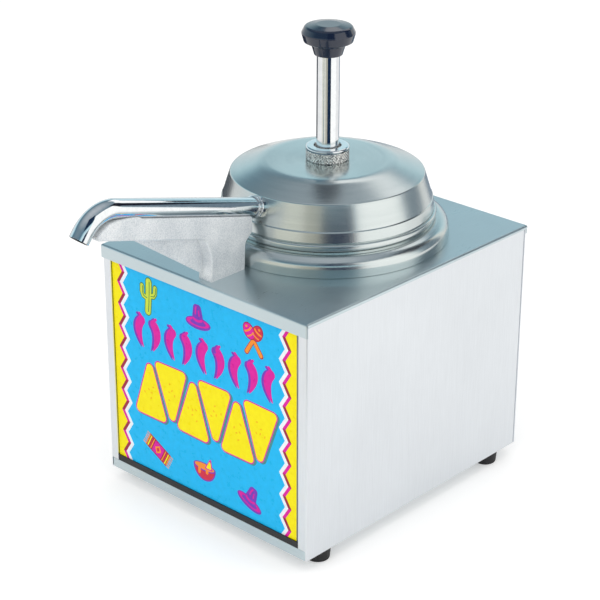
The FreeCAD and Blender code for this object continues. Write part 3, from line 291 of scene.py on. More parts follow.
def tube_path(steps=28):
    """Centre line of the discharge tube as (depth, height) points."""
    slope = Vector((-1, TUBE_SLOPE)).normalized()
    ring = Vector((RING_DEPTH, RING_HEIGHT))
    riser_corner = ring - slope * ((RISER_DEPTH - RING_DEPTH) / -slope.x)
    bend_start = ring + slope * ((RING_DEPTH - SPOUT_DEPTH) / -slope.x)
    reach = SPOUT_BEND * math.tan(SPOUT_TURN / 2)
    spout_corner = bend_start + slope * reach
    dip = math.atan2(slope.y, -slope.x) - SPOUT_TURN
    down = Vector((-math.cos(dip), math.sin(dip)))
    return rounded([
        (RISER_DEPTH, RISER_FOOT),
        (riser_corner.x, riser_corner.y, RISER_BEND),
        (spout_corner.x, spout_corner.y, SPOUT_BEND),
        tuple(spout_corner + down * (reach + SPOUT_END)),
    ], steps)


# ---------------------------------------------------------------- materials


class Finish:
    """A Principled material being made, with short names for the nodes that it uses."""

    def __init__(self, name, colour, roughness, **sockets):
        self.material = bpy.data.materials.new(name)
        self.material.use_nodes = True
        self.tree = self.material.node_tree
        self.shader = self.tree.nodes["Principled BSDF"]
        self.shader.inputs["Base Color"].default_value = (*colour, 1)
        self.shader.inputs["Roughness"].default_value = roughness
        for socket, value in sockets.items():
            self.shader.inputs[socket.replace("_", " ")].default_value = value
        self.place = self.node("ShaderNodeTexCoord").outputs["Object"]

    def node(self, kind, **settings):
        made = self.tree.nodes.new(kind)
        for name, value in settings.items():
            setattr(made, name, value)
        return made

    def feed(self, socket, value):
        """Links an output to an input, or sets a plain number on it."""
        if isinstance(value, bpy.types.NodeSocket):
            self.tree.links.new(value, socket)
        else:
            socket.default_value = value

    def math(self, operation, a, b):
        made = self.node("ShaderNodeMath", operation=operation)
        self.feed(made.inputs[0], a)
        self.feed(made.inputs[1], b)
        return made.outputs[0]

    def mixed(self, a, b, share):
        """Sum of two outputs, with this share of the first and the rest of the second."""
        return self.math("ADD", self.math("MULTIPLY", a, share), self.math("MULTIPLY", b, 1 - share))

    def stretched(self, scale):
        """Object position times a scale along each axis, in lengths per metre."""
        made = self.node("ShaderNodeVectorMath", operation="MULTIPLY")
        self.feed(made.inputs[0], self.place)
        made.inputs[1].default_value = scale
        return made.outputs[0]

    def noise(self, scale, detail=3.0, roughness=0.5, distortion=0.0):
        """Noise with features of about a metre over scale, or over each of three scales."""
        scales = scale if isinstance(scale, tuple) else (scale,) * 3
        made = self.node("ShaderNodeTexNoise")
        self.feed(made.inputs["Vector"], self.stretched(scales))
        made.inputs["Scale"].default_value = 1.0
        made.inputs["Detail"].default_value = detail
        made.inputs["Roughness"].default_value = roughness
        made.inputs["Distortion"].default_value = distortion
        return made.outputs["Fac"]

    def rings(self, scale, around, detail=2.0):
        """Noise in fine rings about the pump's axis, that drifts slowly round it."""
        shift = self.node("ShaderNodeVectorMath", operation="SUBTRACT")
        self.feed(shift.inputs[0], self.place)
        shift.inputs[1].default_value = AXIS
        flat = self.node("ShaderNodeVectorMath", operation="MULTIPLY")
        self.feed(flat.inputs[0], shift.outputs[0])
        flat.inputs[1].default_value = (1, 1, 0)
        radius = self.node("ShaderNodeVectorMath", operation="LENGTH")
        self.feed(radius.inputs[0], flat.outputs[0])
        way = self.node("ShaderNodeVectorMath", operation="NORMALIZE")
        self.feed(way.inputs[0], flat.outputs[0])
        slow = self.node("ShaderNodeVectorMath", operation="SCALE")
        self.feed(slow.inputs[0], way.outputs[0])
        slow.inputs["Scale"].default_value = around
        height = self.node("ShaderNodeSeparateXYZ")
        self.feed(height.inputs[0], shift.outputs[0])
        line = self.math("ADD", radius.outputs["Value"], height.outputs["Z"])
        made = self.node("ShaderNodeTexNoise", noise_dimensions="4D")
        self.feed(made.inputs["Vector"], slow.outputs[0])
        self.feed(made.inputs["W"], self.math("MULTIPLY", line, scale))
        made.inputs["Scale"].default_value = 1.0
        made.inputs["Detail"].default_value = detail
        return made.outputs["Fac"]

    def cells(self, scale):
        made = self.node("ShaderNodeTexVoronoi")
        self.feed(made.inputs["Vector"], self.stretched((scale,) * 3))
        made.inputs["Scale"].default_value = 1.0
        return made.outputs["Distance"]

    def spread(self, value, low, high, start=0.3, end=0.7):
        """Value from start to end, mapped to low to high and held there."""
        made = self.node("ShaderNodeMapRange")
        self.feed(made.inputs["Value"], value)
        made.inputs["From Min"].default_value = start
        made.inputs["From Max"].default_value = end
        made.inputs["To Min"].default_value = low
        made.inputs["To Max"].default_value = high
        return made.outputs["Result"]

    def blend(self, amount, a, b):
        """Colour that goes from a to b."""
        made = self.node("ShaderNodeMix", data_type="RGBA")
        self.feed(made.inputs["Factor"], amount)
        for socket, value in ((made.inputs["A"], a), (made.inputs["B"], b)):
            self.feed(socket, value if isinstance(value, bpy.types.NodeSocket) else (*value, 1))
        return made.outputs["Result"]

    def colour(self, value):
        self.feed(self.shader.inputs["Base Color"], value)

    def roughness(self, value):
        self.feed(self.shader.inputs["Roughness"], value)

    def bump(self, *layers):
        """Stacks (height, strength, depth in millimetres) layers of relief."""
        normal = None
        for height, strength, depth in layers:
            made = self.node("ShaderNodeBump")
            self.feed(made.inputs["Height"], height)
            made.inputs["Strength"].default_value = strength
            made.inputs["Distance"].default_value = depth * MM
            if normal:
                self.feed(made.inputs["Normal"], normal)
            normal = made.outputs["Normal"]
        self.feed(self.shader.inputs["Normal"], normal)

    def grain(self, anisotropy):
        """Grooves that run round the upright axis."""
        tangent = self.node("ShaderNodeTangent", direction_type="RADIAL", axis="Z")
        self.feed(self.shader.inputs["Tangent"], tangent.outputs[0])
        self.shader.inputs["Anisotropic"].default_value = anisotropy


def tinted(colour, gain, lift=0.0):
    """Colour made darker or lighter, up to white."""
    return tuple(min(1.0, c * gain + lift) for c in colour)


def sheet_steel(name, colour, roughness, scale):
    """Rolled sheet: fine scratches along one way, faint clouding and a few handling smudges."""
    steel = Finish(name, colour, roughness, Metallic=1.0)
    grain = steel.noise(scale, detail=4.0, roughness=0.6)
    clouds = steel.noise(14.0, detail=3.0)
    smudges = steel.noise(38.0, detail=5.0, distortion=0.8)
    tone = steel.mixed(grain, clouds, 0.7)
    steel.colour(steel.blend(steel.spread(tone, 0.0, 1.0), tinted(colour, 0.93), tinted(colour, 1.05)))
    handled = steel.spread(smudges, roughness - 0.01, roughness + 0.03)
    steel.roughness(steel.math("ADD", steel.spread(grain, -0.03, 0.03), handled))
    steel.bump((grain, 0.25, 0.01), (clouds, 0.3, 0.15))
    return steel.material


def brushed_steel():
    return sheet_steel("brushed_steel", (0.60, 0.69, 0.72), 0.30, (2600.0, 90.0, 2600.0))


def side_steel():
    return sheet_steel("side_steel", (0.79, 0.82, 0.85), 0.36, (2600.0, 2600.0, 40.0))


def spun_steel():
    """Spun shell: fine turning rings, a satin lay that drags the highlights, and darker drawn bands."""
    steel = Finish("spun_steel", (0.62, 0.66, 0.665), 0.22, Metallic=1.0)
    fine = steel.rings(5200.0, around=1.2)
    broad = steel.rings(300.0, around=1.0)
    clouds = steel.noise(24.0, detail=4.0)
    tone = steel.mixed(fine, broad, 0.5)
    steel.colour(steel.blend(steel.spread(tone, 0.0, 1.0), (0.60, 0.65, 0.65), (0.68, 0.725, 0.72)))
    steel.roughness(steel.math("ADD", steel.spread(fine, -0.02, 0.02), steel.spread(clouds, 0.19, 0.24)))
    steel.bump((fine, 0.12, 0.006), (broad, 0.04, 0.02))
    steel.grain(0.6)
    return steel.material


def polished_steel():
    steel = Finish("polished_steel", (0.80, 0.82, 0.84), 0.07, Metallic=1.0)
    fine = steel.noise(1800.0, detail=2.0)
    wipes = steel.noise((60.0, 300.0, 300.0), detail=4.0)
    steel.roughness(steel.spread(wipes, 0.05, 0.11))
    steel.colour(steel.blend(steel.spread(wipes, 0.0, 1.0), (0.77, 0.79, 0.81), (0.84, 0.86, 0.875)))
    steel.bump((fine, 0.08, 0.01))
    return steel.material


def knurled_steel():
    """Steel with dark specks of painted shade and near-white specks of painted glint in place of the light
    and shade on its fine crossing teeth.
    """
    steel = Finish("knurled_steel", (0.72, 0.70, 0.67), 0.22, Metallic=1.0)
    specks = steel.noise(1000.0, detail=1.0, roughness=0.4)
    amount = steel.spread(specks, 0.0, 1.0, start=0.40, end=0.52)
    # Painted shade and painted glints: the dark and near-white specks stand in for the light and shade on
    # the knurl's teeth.
    steel.colour(steel.blend(amount, (0.24, 0.23, 0.24), (1.0, 0.97, 0.92)))
    steel.roughness(steel.spread(specks, 0.35, 0.18))
    steel.bump((specks, 0.5, 0.10))
    return steel.material


def cast_alloy():
    """Blasted casting: pale, matt and finely pitted."""
    alloy = Finish("cast_alloy", (0.80, 0.83, 0.85), 0.50, Metallic=0.3)
    grit = alloy.noise(1100.0, detail=5.0, roughness=0.7)
    pits = alloy.cells(900.0)
    clouds = alloy.noise(45.0, detail=3.0)
    amount = alloy.spread(alloy.mixed(grit, clouds, 0.75), 0.0, 1.0, start=0.38, end=0.62)
    alloy.colour(alloy.blend(amount, (0.58, 0.63, 0.67), (0.96, 0.98, 0.99)))
    alloy.roughness(alloy.spread(grit, 0.42, 0.60))
    alloy.bump((grit, 0.45, 0.08), (pits, 0.25, 0.06))
    return alloy.material


def moulded(name, colour, roughness, gloss_spread=0.06, relief=0.15, fine=900.0, **sockets):
    """Moulded plastic or rubber: slight mottling in colour and gloss, and a faint orange peel."""
    plastic = Finish(name, colour, roughness, **sockets)
    mottle = plastic.noise(60.0, detail=4.0)
    peel = plastic.noise(fine, detail=2.0)
    amount = plastic.spread(mottle, 0.0, 1.0)
    plastic.colour(plastic.blend(amount, tinted(colour, 0.85), tinted(colour, 1.12)))
    plastic.roughness(plastic.spread(mottle, roughness - gloss_spread / 2, roughness + gloss_spread))
    plastic.bump((peel, relief, 0.03))
    return plastic.material


def black_plastic():
    return moulded("black_plastic", (0.006, 0.013, 0.035), 0.16, Coat_Weight=0.5, Coat_Roughness=0.08)


def black_trim():
    return moulded("black_trim", (0.008, 0.008, 0.010), 0.45)


def pump_plastic():
    return moulded("pump_plastic", (0.80, 0.80, 0.77), 0.38)


def rubber():
    return moulded("rubber", (0.012, 0.012, 0.013), 0.62, relief=0.4, fine=500.0)


def printed_sign():
    return moulded("printed_sign", (0.82, 0.84, 0.84), 0.22)


def ink(name, colour):
    """Ink on the sign: even colour with a faint print mottle and a fine grain."""
    coat = Finish("ink_" + name, colour, 0.34, Specular_IOR_Level=0.15)
    mottle = coat.noise(220.0, detail=4.0)
    grain = coat.noise(2400.0, detail=2.0)
    amount = coat.spread(mottle, 0.0, 1.0)
    coat.colour(coat.blend(amount, tinted(colour, 0.95), tinted(colour, 1.04, 0.004)))
    coat.roughness(coat.spread(mottle, 0.26, 0.36))
    coat.bump((grain, 0.10, 0.01))
    return coat.material


def glass():
    return moulded("glass", (0.95, 0.95, 0.92), 0.20, Transmission_Weight=0.6)


def brass():
    return sheet_steel("brass", (0.78, 0.58, 0.28), 0.28, (900.0, 900.0, 300.0))


def copper():
    return sheet_steel("copper", (0.80, 0.42, 0.27), 0.30, (900.0, 900.0, 300.0))


def ceramic():
    return moulded("ceramic", (0.86, 0.85, 0.80), 0.12, Coat_Weight=0.6)


def white_paint():
    return moulded("white_paint", (0.84, 0.84, 0.82), 0.30, relief=0.3)


def zinc_screw():
    return sheet_steel("zinc_screw", (0.62, 0.63, 0.65), 0.30, (1200.0, 1200.0, 1200.0))


def heater_sheath():
    return sheet_steel("heater_sheath", (0.26, 0.24, 0.22), 0.42, (500.0, 500.0, 500.0))


def amber_lens():
    return moulded("amber_lens", (0.85, 0.22, 0.03), 0.12, Transmission_Weight=0.3)


FINISHES = {
    maker.__name__: maker()
    for maker in (
        brushed_steel, side_steel, spun_steel, polished_steel, cast_alloy, black_plastic, black_trim,
        pump_plastic, rubber, printed_sign, glass, brass, copper, ceramic, white_paint, zinc_screw,
        heater_sheath, amber_lens,
    )
}


def dress_nodes():
    """Gives each CAD node the finish of its slot in the record."""
    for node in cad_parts.values():
        for slot in node.material_slots:
            slot.material = FINISHES[slot.material.name.split(".")[0]]


# ---------------------------------------------------------------- spun parts and pump


def spun_parts():
    lid = revolved("lid_shell", rounded(LID_OUTLINE))
    add_piece(lid, FINISHES["spun_steel"], "pump", "spun_steel", "pump_lid")
    vessel = revolved("vessel_shell", rounded(VESSEL_OUTLINE))
    add_piece(vessel, FINISHES["spun_steel"], "housing", "spun_steel", "water_vessel")


def knurl(radius, height, angle):
    """Radius of the lock nut, with crossing grooves that leave small diamonds on its lower part."""
    if radius < NUT_RADIUS - CLOSE or height > KNURL_TOP:
        return radius
    turns = angle / (2 * math.pi) * KNURL_TEETH
    rise = (height - NUT_BASE) / (2 * math.pi * NUT_RADIUS / KNURL_TEETH)
    ridges = [abs((turns + side * rise) % 1 - 0.5) * 2 for side in (-1, 1)]
    return radius - KNURL_DEPTH * max(ridges)


def nut():
    """Lock nut: the knurl's faces take a rougher finish than the rest."""
    low = NUT_BASE + NUT_CHAMFER
    rows = [(NUT_RADIUS, low + (KNURL_TOP - low) * k / KNURL_ROWS) for k in range(KNURL_ROWS + 1)]
    outline = rounded([
        (NUT_RADIUS, NUT_TOP, NUT_SHOULDER), (COLLAR_BORE, NUT_TOP, COLLAR_ROUND),
        (COLLAR_BORE, COLLAR_BASE), (NUT_BORE, COLLAR_BASE), (NUT_BORE, NUT_BASE),
        (NUT_RADIUS - NUT_CHAMFER, NUT_BASE), *rows,
    ], 6)
    mesh = revolved("lock_nut_knurled", outline, steps=KNURL_TEETH * KNURL_STEPS, wave=knurl)
    top = COVER + KNURL_TOP * MM
    for face in mesh.polygons:
        out = (face.center.xy - AXIS.xy).length
        face.material_index = int(face.center.z < top and out > (NUT_RADIUS - KNURL_SKIN) * MM)
    add_piece(mesh, [FINISHES["polished_steel"], knurled_steel()], "nut", "polished_steel", "lock_nut")


def plunger():
    foot = (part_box("plunger_tube")[0].z - COVER) / MM
    outline = rounded([
        (PLUNGER_RADIUS, foot), (PLUNGER_RADIUS, PLUNGER_TOP, PLUNGER_RIM),
        (PLUNGER_BORE, PLUNGER_TOP, PLUNGER_RIM), (PLUNGER_BORE, foot),
    ], 4)
    tube = revolved("plunger_tube_polished", outline, steps=96)
    add_piece(tube, FINISHES["polished_steel"], "plunger", "polished_steel", "plunger_tube")
    knob = revolved("plunger_knob_moulded", rounded(KNOB_OUTLINE), steps=128)
    add_piece(knob, FINISHES["black_plastic"], "plunger", "black_plastic", "plunger_knob")


def return_spring():
    """The spring under the piston, which sits on the valve body, gets its own copy of its mesh."""
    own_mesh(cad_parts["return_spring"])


def spout():
    mesh = swept("discharge_tube_bent", tube_path(), TUBE_RADIUS, TUBE_BORE)
    add_piece(mesh, FINISHES["polished_steel"], "pump", "polished_steel", "discharge_tube")


def lumps(radius, height, angle):
    """Radius of the brazed bead, with low lumps in two sizes. The collars in front of it stay round."""
    if radius <= TUBE_RADIUS or height > LUMPS_TOP:
        return radius
    place = Vector((math.cos(angle) * LUMPS_ROUND, math.sin(angle) * LUMPS_ROUND, height * LUMPS_ALONG))
    rise = LUMPS_BROAD * noise.noise(place) + LUMPS_FINE * noise.noise(place * FINER)
    return min(radius - LUMPS_SINK + rise, RING_RADIUS)


def brazed_ring():
    """Brazed ring where the tube leaves the lid: a lumpy bead with two thin collars in front."""
    outline = rounded(RING_OUTLINE, 6)
    mesh = revolved("tube_ring_brazed", outline, centre=Vector((0, 0, 0)), steps=96, wave=lumps)
    way = Vector((0, -1, TUBE_SLOPE)).normalized()
    turn = way.to_track_quat("Z", "X").to_matrix().to_4x4()
    mesh.transform(Matrix.Translation(point(RING_DEPTH, RING_HEIGHT)) @ turn)
    add_piece(mesh, FINISHES["polished_steel"], "pump", "polished_steel", "tube_ring")


def dial_mark(foot, angle, inner, outer):
    """Corners of one stroke: its face, and then its back a little inside the panel."""
    way = Vector((-math.sin(angle), 0, math.cos(angle)))
    side = Vector((way.z, 0, -way.x)) * MARK_WIDTH / 2 * MM
    corners = []
    for rise in (MARK_RAISE * MM, -MARK_RAISE * MM):
        lift = foot + Vector((0, rise, 0))
        corners += [lift + way * inner - side, lift + way * outer - side]
        corners += [lift + way * outer + side, lift + way * inner + side]
    return corners


def dial_marks():
    """Strokes on the rear panel round the dial, from below it, where the pointer rests, to its hot end."""
    low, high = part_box("thermostat_dial")
    centre = middle("thermostat_dial")
    foot = Vector((centre.x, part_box("rear_panel")[1].y, centre.z))
    inner = (high.z - low.z) / 2 + MARK_GAP * MM
    sides = ((0, 1, 2, 3), (7, 6, 5, 4), (0, 4, 5, 1), (1, 5, 6, 2), (2, 6, 7, 3), (3, 7, 4, 0))
    verts, faces = [], []
    for k in range(DIAL_MARKS):
        faces += [[len(verts) + i for i in face] for face in sides]
        angle = math.radians(180 - DIAL_SWEEP * k / (DIAL_MARKS - 1))
        verts += dial_mark(foot, angle, inner, inner + MARK_LENGTH * (1 + k / DIAL_MARKS) * MM)
    mesh = new_mesh("dial_marks", verts, faces, smooth=False)
    add_piece(mesh, FINISHES["black_trim"], "housing", "black_trim", weighted=False)


# ---------------------------------------------------------------- printed sign


SIGN_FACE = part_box("sign_panel")[0].y
SIGN_MIDDLE = middle("sign_panel")
SIGN_HALF = (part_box("sign_panel")[1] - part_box("sign_panel")[0]) / 2 / MM

# Each layer of ink stands a step over the last. Plates in one layer differ by small lifts, so that
# two that overlap never share a plane. Every plate starts a little inside the sign.
INK_STEP = 0.04
INK_LIFT = 0.002
INK_LIFTS = 12
INK_SINK = 0.02
INKS = {
    "sky": (0.010, 0.505, 0.930),
    "yellow": (1.0, 0.84, 0.0),
    "toast": (0.93, 0.55, 0.0),
    "magenta": (0.74, 0.012, 0.36),
    "purple": (0.20, 0.045, 0.50),
    "maroon": (0.36, 0.020, 0.060),
    "white": (0.90, 0.93, 0.98),
    "teal": (0.06, 0.27, 0.30),
    "green": (0.06, 0.22, 0.07),
    "lime": (0.62, 0.75, 0.06),
    "orange": (0.95, 0.30, 0.03),
    "red": (0.66, 0.03, 0.07),
}

# Zigzag edge: how far out each of its three lines turns, and how far in it swings.
BORDER_REACHES = (99.8, 96.4, 92.6)
BORDER_SWING = 6.4
BORDER_TURNS = 19

CHIP_COUNT = 6
CHIP_PITCH = 25.6
CHIP_BASE = 39
CHIP_HEIGHT = 58
CHIP_MIDDLE = (1.3, -12)
CHIP_CORNER = 4
CHIP_EDGE = 1.1
CHIP_STAGGER = 1.5
CHIP_TILT = 1.5
CHIP_SHADOW = (2.3, -0.6)

# Toasted spots of a chip, on a flattened spiral about a place towards its wide end. Turns are in radians.
SPOT_COUNT = 5
SPOT_TURN = 2.4
SPOT_START = 1.5
SPOT_PITCH = 1.9
SPOT_FLATNESS = 0.8
SPOT_DROP = 6
SPOT_SIZE = (2.6, 1.4)

PEPPER_COUNT = 9
PEPPER_PITCH = 18.6
PEPPER_MIDDLE = (1.5, 38)
PEPPER_BEND = 6.5
PEPPER_SHADOW = (-2.6, -0.52)


def oval(x, z, across, tall, tilt=0.0, count=36):
    """Outline of an ellipse, tilted anticlockwise by degrees."""
    turn = Matrix.Rotation(math.radians(tilt), 2)
    outline = []
    for k in range(count):
        angle = 2 * math.pi * k / count
        reach = Vector((across / 2 * math.cos(angle), tall / 2 * math.sin(angle)))
        outline.append(Vector((x, z)) + turn @ reach)
    return outline


def arc(start, bend, end, count=14):
    """Points along a curve from start to end, pulled towards bend."""
    a, b, c = Vector(start), Vector(bend), Vector(end)
    shares = [k / count for k in range(count + 1)]
    return [a * (1 - t) ** 2 + b * 2 * t * (1 - t) + c * t ** 2 for t in shares]


def block(half_width, half_height, corner):
    """Rectangle with rounded corners about its own middle."""
    signs = ((-1, -1), (1, -1), (1, 1), (-1, 1))
    return rounded([(a * half_width, b * half_height, corner) for a, b in signs])


def diamond(half_width, half_height):
    return [(-half_width, 0), (0, -half_height), (half_width, 0), (0, half_height)]


def stroke(points, start, belly=None, end=None):
    """Outline of a brush stroke with round ends. Its width goes from start through belly to end."""
    points = [Vector(p) for p in points]
    belly = start if belly is None else belly
    end = start if end is None else end
    last = len(points) - 1
    left, right = [], []
    for i, p in enumerate(points):
        t = i / last
        width = start * (1 - t) ** 2 + belly * 2 * t * (1 - t) + end * t ** 2
        way = (points[min(i + 1, last)] - points[max(i - 1, 0)]).normalized()
        side = Vector((-way.y, way.x)) * width / 2
        left.append(p + side)
        right.append(p - side)
    head = round_cap(points[-1], points[-1] - points[-2], end / 2)
    foot = round_cap(points[0], points[0] - points[1], start / 2)
    return left + head + right[::-1] + foot


def round_cap(tip, way, radius, steps=6):
    """Points round the end of a stroke, from its left side to its right."""
    way = way.normalized() * radius
    side = Vector((-way.y, way.x))
    angles = [math.pi * k / steps for k in range(1, steps)]
    return [tip + side * math.cos(a) + way * math.sin(a) for a in angles]


def chip(x, z, up, tilt, grow):
    """Rounded triangle that points up (1) or down (-1), with its edges moved out by grow."""
    half = CHIP_BASE / 2
    inner = half * CHIP_HEIGHT / (half + math.hypot(half, CHIP_HEIGHT))
    size = (inner + grow) / inner
    corner = CHIP_CORNER + grow
    middle_height = CHIP_HEIGHT / 2 - inner
    corners = [(-half, -inner), (half, -inner), (0, CHIP_HEIGHT - inner)]
    shape = rounded([(a * size, b * size - middle_height, corner) for a, b in corners])
    turn = Matrix.Rotation(math.radians(tilt + (0 if up > 0 else 180)), 2)
    return [turn @ p + Vector((x, z)) for p in shape]


def zigzag(reach, side):
    """Corners of a zigzag line down one side of the sign."""
    points = []
    for k in range(BORDER_TURNS + 1):
        across = side * (reach - BORDER_SWING * (k % 2))
        points.append(Vector((across, SIGN_HALF.z * (1 - 2 * k / BORDER_TURNS))))
    return points


class Print:
    """Plates of ink on the sign. Points are millimetres from its middle; higher layers cover lower ones."""

    def __init__(self):
        self.plates = {}

    def add(self, ink_name, layer, *outlines):
        for outline in outlines:
            self.plates.setdefault(ink_name, []).append((layer, [Vector(p) for p in outline]))

    def icon(self, x, z, tilt, *plates):
        """Adds (ink, layer, outline) plates, turned by degrees about the icon's own middle."""
        turn = Matrix.Rotation(math.radians(tilt), 2)
        for ink_name, layer, outline in plates:
            self.add(ink_name, layer, [turn @ Vector(p) + Vector((x, z)) for p in outline])

    def build(self):
        """Makes one piece from all the plates of each ink."""
        for ink_name, plates in self.plates.items():
            verts, faces = [], []
            for i, (layer, outline) in enumerate(plates):
                first, count = len(verts), len(outline)
                for depth in (-layer * INK_STEP - i % INK_LIFTS * INK_LIFT, INK_SINK):
                    y = SIGN_FACE + depth * MM
                    verts += [(SIGN_MIDDLE.x + p.x * MM, y, SIGN_MIDDLE.z + p.y * MM) for p in outline]
                faces.append([first + k for k in range(count)])
                faces.append([first + count + k for k in reversed(range(count))])
                for k in range(count):
                    after = (k + 1) % count
                    faces.append([first + k, first + count + k, first + count + after, first + after])
            mesh = new_mesh("sign_" + ink_name, verts, faces, smooth=False)
            add_piece(mesh, ink(ink_name, INKS[ink_name]), "sign", "printed_sign", weighted=False)


def sign_border(art, side):
    """Yellow edge, then a dark and a white zigzag stripe. side is -1 at the left and 1 at the right."""
    edge = [(side * SIGN_HALF.x, SIGN_HALF.z), (side * SIGN_HALF.x, -SIGN_HALF.z)]
    outer, between, inner = [zigzag(reach, side) for reach in BORDER_REACHES]
    art.add("yellow", 2, edge + outer[::-1])
    art.add("white", 2, between + inner[::-1])
    for k in range(BORDER_TURNS):
        stripe = [outer[k], outer[k + 1], between[k + 1], between[k]]
        art.add("maroon" if k % 2 else "magenta", 3, stripe)


def toasted_spots(x, z, start):
    """Small ovals on a spiral, from a start angle. Each is turned its own way."""
    spots = []
    for k in range(SPOT_COUNT):
        angle = SPOT_TURN * k + start
        reach = SPOT_START + SPOT_PITCH * k
        at = (x + reach * math.cos(angle) * SPOT_FLATNESS, z + reach * math.sin(angle))
        spots.append(oval(*at, *SPOT_SIZE, 50 * angle, 12))
    return spots


def chip_row(art):
    """Corn chips that point up and down in turn, each with toasted spots along a spiral."""
    for k in range(CHIP_COUNT):
        up = 1 if k % 2 == 0 else -1
        x = CHIP_MIDDLE[0] + (k - (CHIP_COUNT - 1) / 2) * CHIP_PITCH
        z = CHIP_MIDDLE[1] + up * CHIP_STAGGER
        tilt = CHIP_TILT * math.sin(2.3 * k)
        art.add("teal", 2, chip(x + CHIP_SHADOW[0], z + CHIP_SHADOW[1], up, tilt, CHIP_EDGE))
        art.add("magenta", 3, chip(x, z, up, tilt, CHIP_EDGE))
        art.add("yellow", 4, chip(x, z, up, tilt, 0))
        art.add("toast", 5, *toasted_spots(x, z - up * SPOT_DROP, k))


def pepper_row(art):
    """Chili peppers that bend left and right in turn, each with its shadow and stalk."""
    for k in range(PEPPER_COUNT):
        x = PEPPER_MIDDLE[0] + (k - (PEPPER_COUNT - 1) / 2) * PEPPER_PITCH
        bend = PEPPER_BEND if k % 2 else -PEPPER_BEND
        body = arc((-bend * 0.3, 10), (bend, 2), (-bend * 0.5, -14))
        stalk = arc((-bend * 0.3, 10), (-bend * 0.5, 13), (bend * 0.1, 15.5), 6)
        for ink_name, layer, shift in (("purple", 2, PEPPER_SHADOW), ("magenta", 3, (0, 0))):
            place = Vector((x + shift[0], PEPPER_MIDDLE[1] + shift[1]))
            art.add(ink_name, layer, [p + place for p in stroke(body, 8.5, 11, 1.2)])
            art.add(ink_name, layer + 1, [p + place for p in stroke(stalk, 3.4, 2.4, 2.6)])


def cactus(art, x, z, tilt):
    limbs = [
        (arc((0, -15), (0.6, 0), (0, 12)), 6.5),
        ([(-2.5, -3), (-6, -2.4), (-7.6, 0.5), (-7.8, 6)], 4),
        ([(2.5, 0), (6, 0.8), (7.6, 3.5), (7.8, 9)], 4),
    ]
    for line, width in limbs:
        rib = [Vector(p) + Vector((0.8, 0)) for p in line]
        art.icon(
            x, z, tilt,
            ("green", 2, stroke(line, width + 1.8)), ("lime", 3, stroke(line, width)),
            ("green", 4, stroke(rib, 0.8)),
        )


def hat(art, x, z, tilt):
    crown = rounded([(-6.8, -5, 1), (-4, 10.5, 3.4), (4, 10.5, 3.4), (6.8, -5, 1)])
    art.icon(
        x, z, tilt,
        ("purple", 2, oval(0, -6, 29, 11)), ("magenta", 3, oval(0, -5.4, 26, 7.6)),
        ("purple", 4, oval(0, -5.6, 18, 4.8)), ("purple", 5, crown),
        ("magenta", 6, stroke(arc((-5, -2.5), (0, -5.5), (5, -2.5)), 2.2)),
        ("magenta", 6, stroke(arc((-2.2, 2), (-2.2, 6), (-1, 8)), 1.6)),
        ("magenta", 6, stroke([(2, 1), (1.6, 5)], 1.4)),
    )


def maraca(art, x, z, tilt, ink_name):
    art.icon(
        x, z, tilt,
        ("orange", 3, stroke([(0, -14), (0, 3)], 3.6, 2.6, 3)),
        ("maroon", 2, stroke([(0, -14.3), (0, 3)], 5, 4, 4)),
        ("maroon", 4, oval(0, 8, 12, 15.5)), (ink_name, 5, oval(0, 8, 10.6, 14)),
        ("orange", 6, stroke(arc((-4, 9.6), (0, 8), (4, 9.6)), 1.6)), ("orange", 6, oval(0, 12.5, 2.4, 2)),
        ("orange", 6, stroke(arc((-3.6, 5), (0, 3.6), (3.6, 5)), 1.2)),
    )


def blanket(art, x, z, tilt):
    art.icon(
        x, z, tilt,
        ("maroon", 2, block(14, 7, 1)), ("magenta", 3, block(6, 6, 1)),
        ("orange", 4, diamond(4, 4.6)), ("red", 5, diamond(2, 2.4)),
    )
    for side in (-1, 1):
        for k, ink_name in enumerate(("orange", "red", "yellow", "orange")):
            across = side * (7.6 + 1.9 * k)
            band = [(across - 0.6, -6), (across + 0.6, -6), (across + 0.6, 6), (across - 0.6, 6)]
            art.icon(x, z, tilt, (ink_name, 3, band))
        for k in range(6):
            fringe = [(side * 13.5, 2.4 * k - 6), (side * 17, 2.4 * k - 6)]
            art.icon(x, z, tilt, ("orange", 2, stroke(fringe, 0.9)))


def cheese_bowl(art, x, z):
    """Bowl of cheese that runs over its rim, with a chip stood in it."""
    angles = [math.pi + math.pi * k / 16 for k in range(17)]
    bowl = [Vector((12 * math.cos(a), 12 * math.sin(a))) for a in angles]
    art.icon(
        x, z, 0,
        ("purple", 2, [p * 1.1 for p in bowl]), ("red", 3, bowl), ("purple", 4, oval(0, 0, 26, 8)),
        ("orange", 5, oval(0, 0.2, 23, 6)), ("orange", 5, stroke([(-6, -1), (-6, -6.5)], 3, 2.4, 3)),
        ("orange", 5, stroke([(3, -1), (3, -4.5)], 3, 2.4, 3)),
        ("magenta", 5, rounded([(0, -1, 1), (9.5, -1, 1), (7.5, 11, 1)])),
        ("yellow", 6, rounded([(1.8, 0, 0.8), (8.2, 0, 0.8), (6.9, 8.6, 0.8)])),
    )


def sign_icons(art):
    """Small pictures above and below the two rows."""
    cactus(art, -61.7, 73.5, -4)
    hat(art, -3.7, 72.5, 3)
    hat(art, 54.8, -71.5, -22)
    maraca(art, 58.8, 72, -32, "red")
    maraca(art, 58.8, 72, 36, "magenta")
    blanket(art, -55.7, -69, -28)
    cheese_bowl(art, 0.7, -64)


def sign_art():
    """Printed sky with a zigzag edge at each side, two rows of food and small pictures."""
    art = Print()
    left, low = -SIGN_HALF.x, -SIGN_HALF.z
    art.add("sky", 1, [(left, low), (-left, low), (-left, -low), (left, -low)])
    for side in (-1, 1):
        sign_border(art, side)
    chip_row(art)
    pepper_row(art)
    sign_icons(art)
    art.build()


# ---------------------------------------------------------------- camera, floor and light


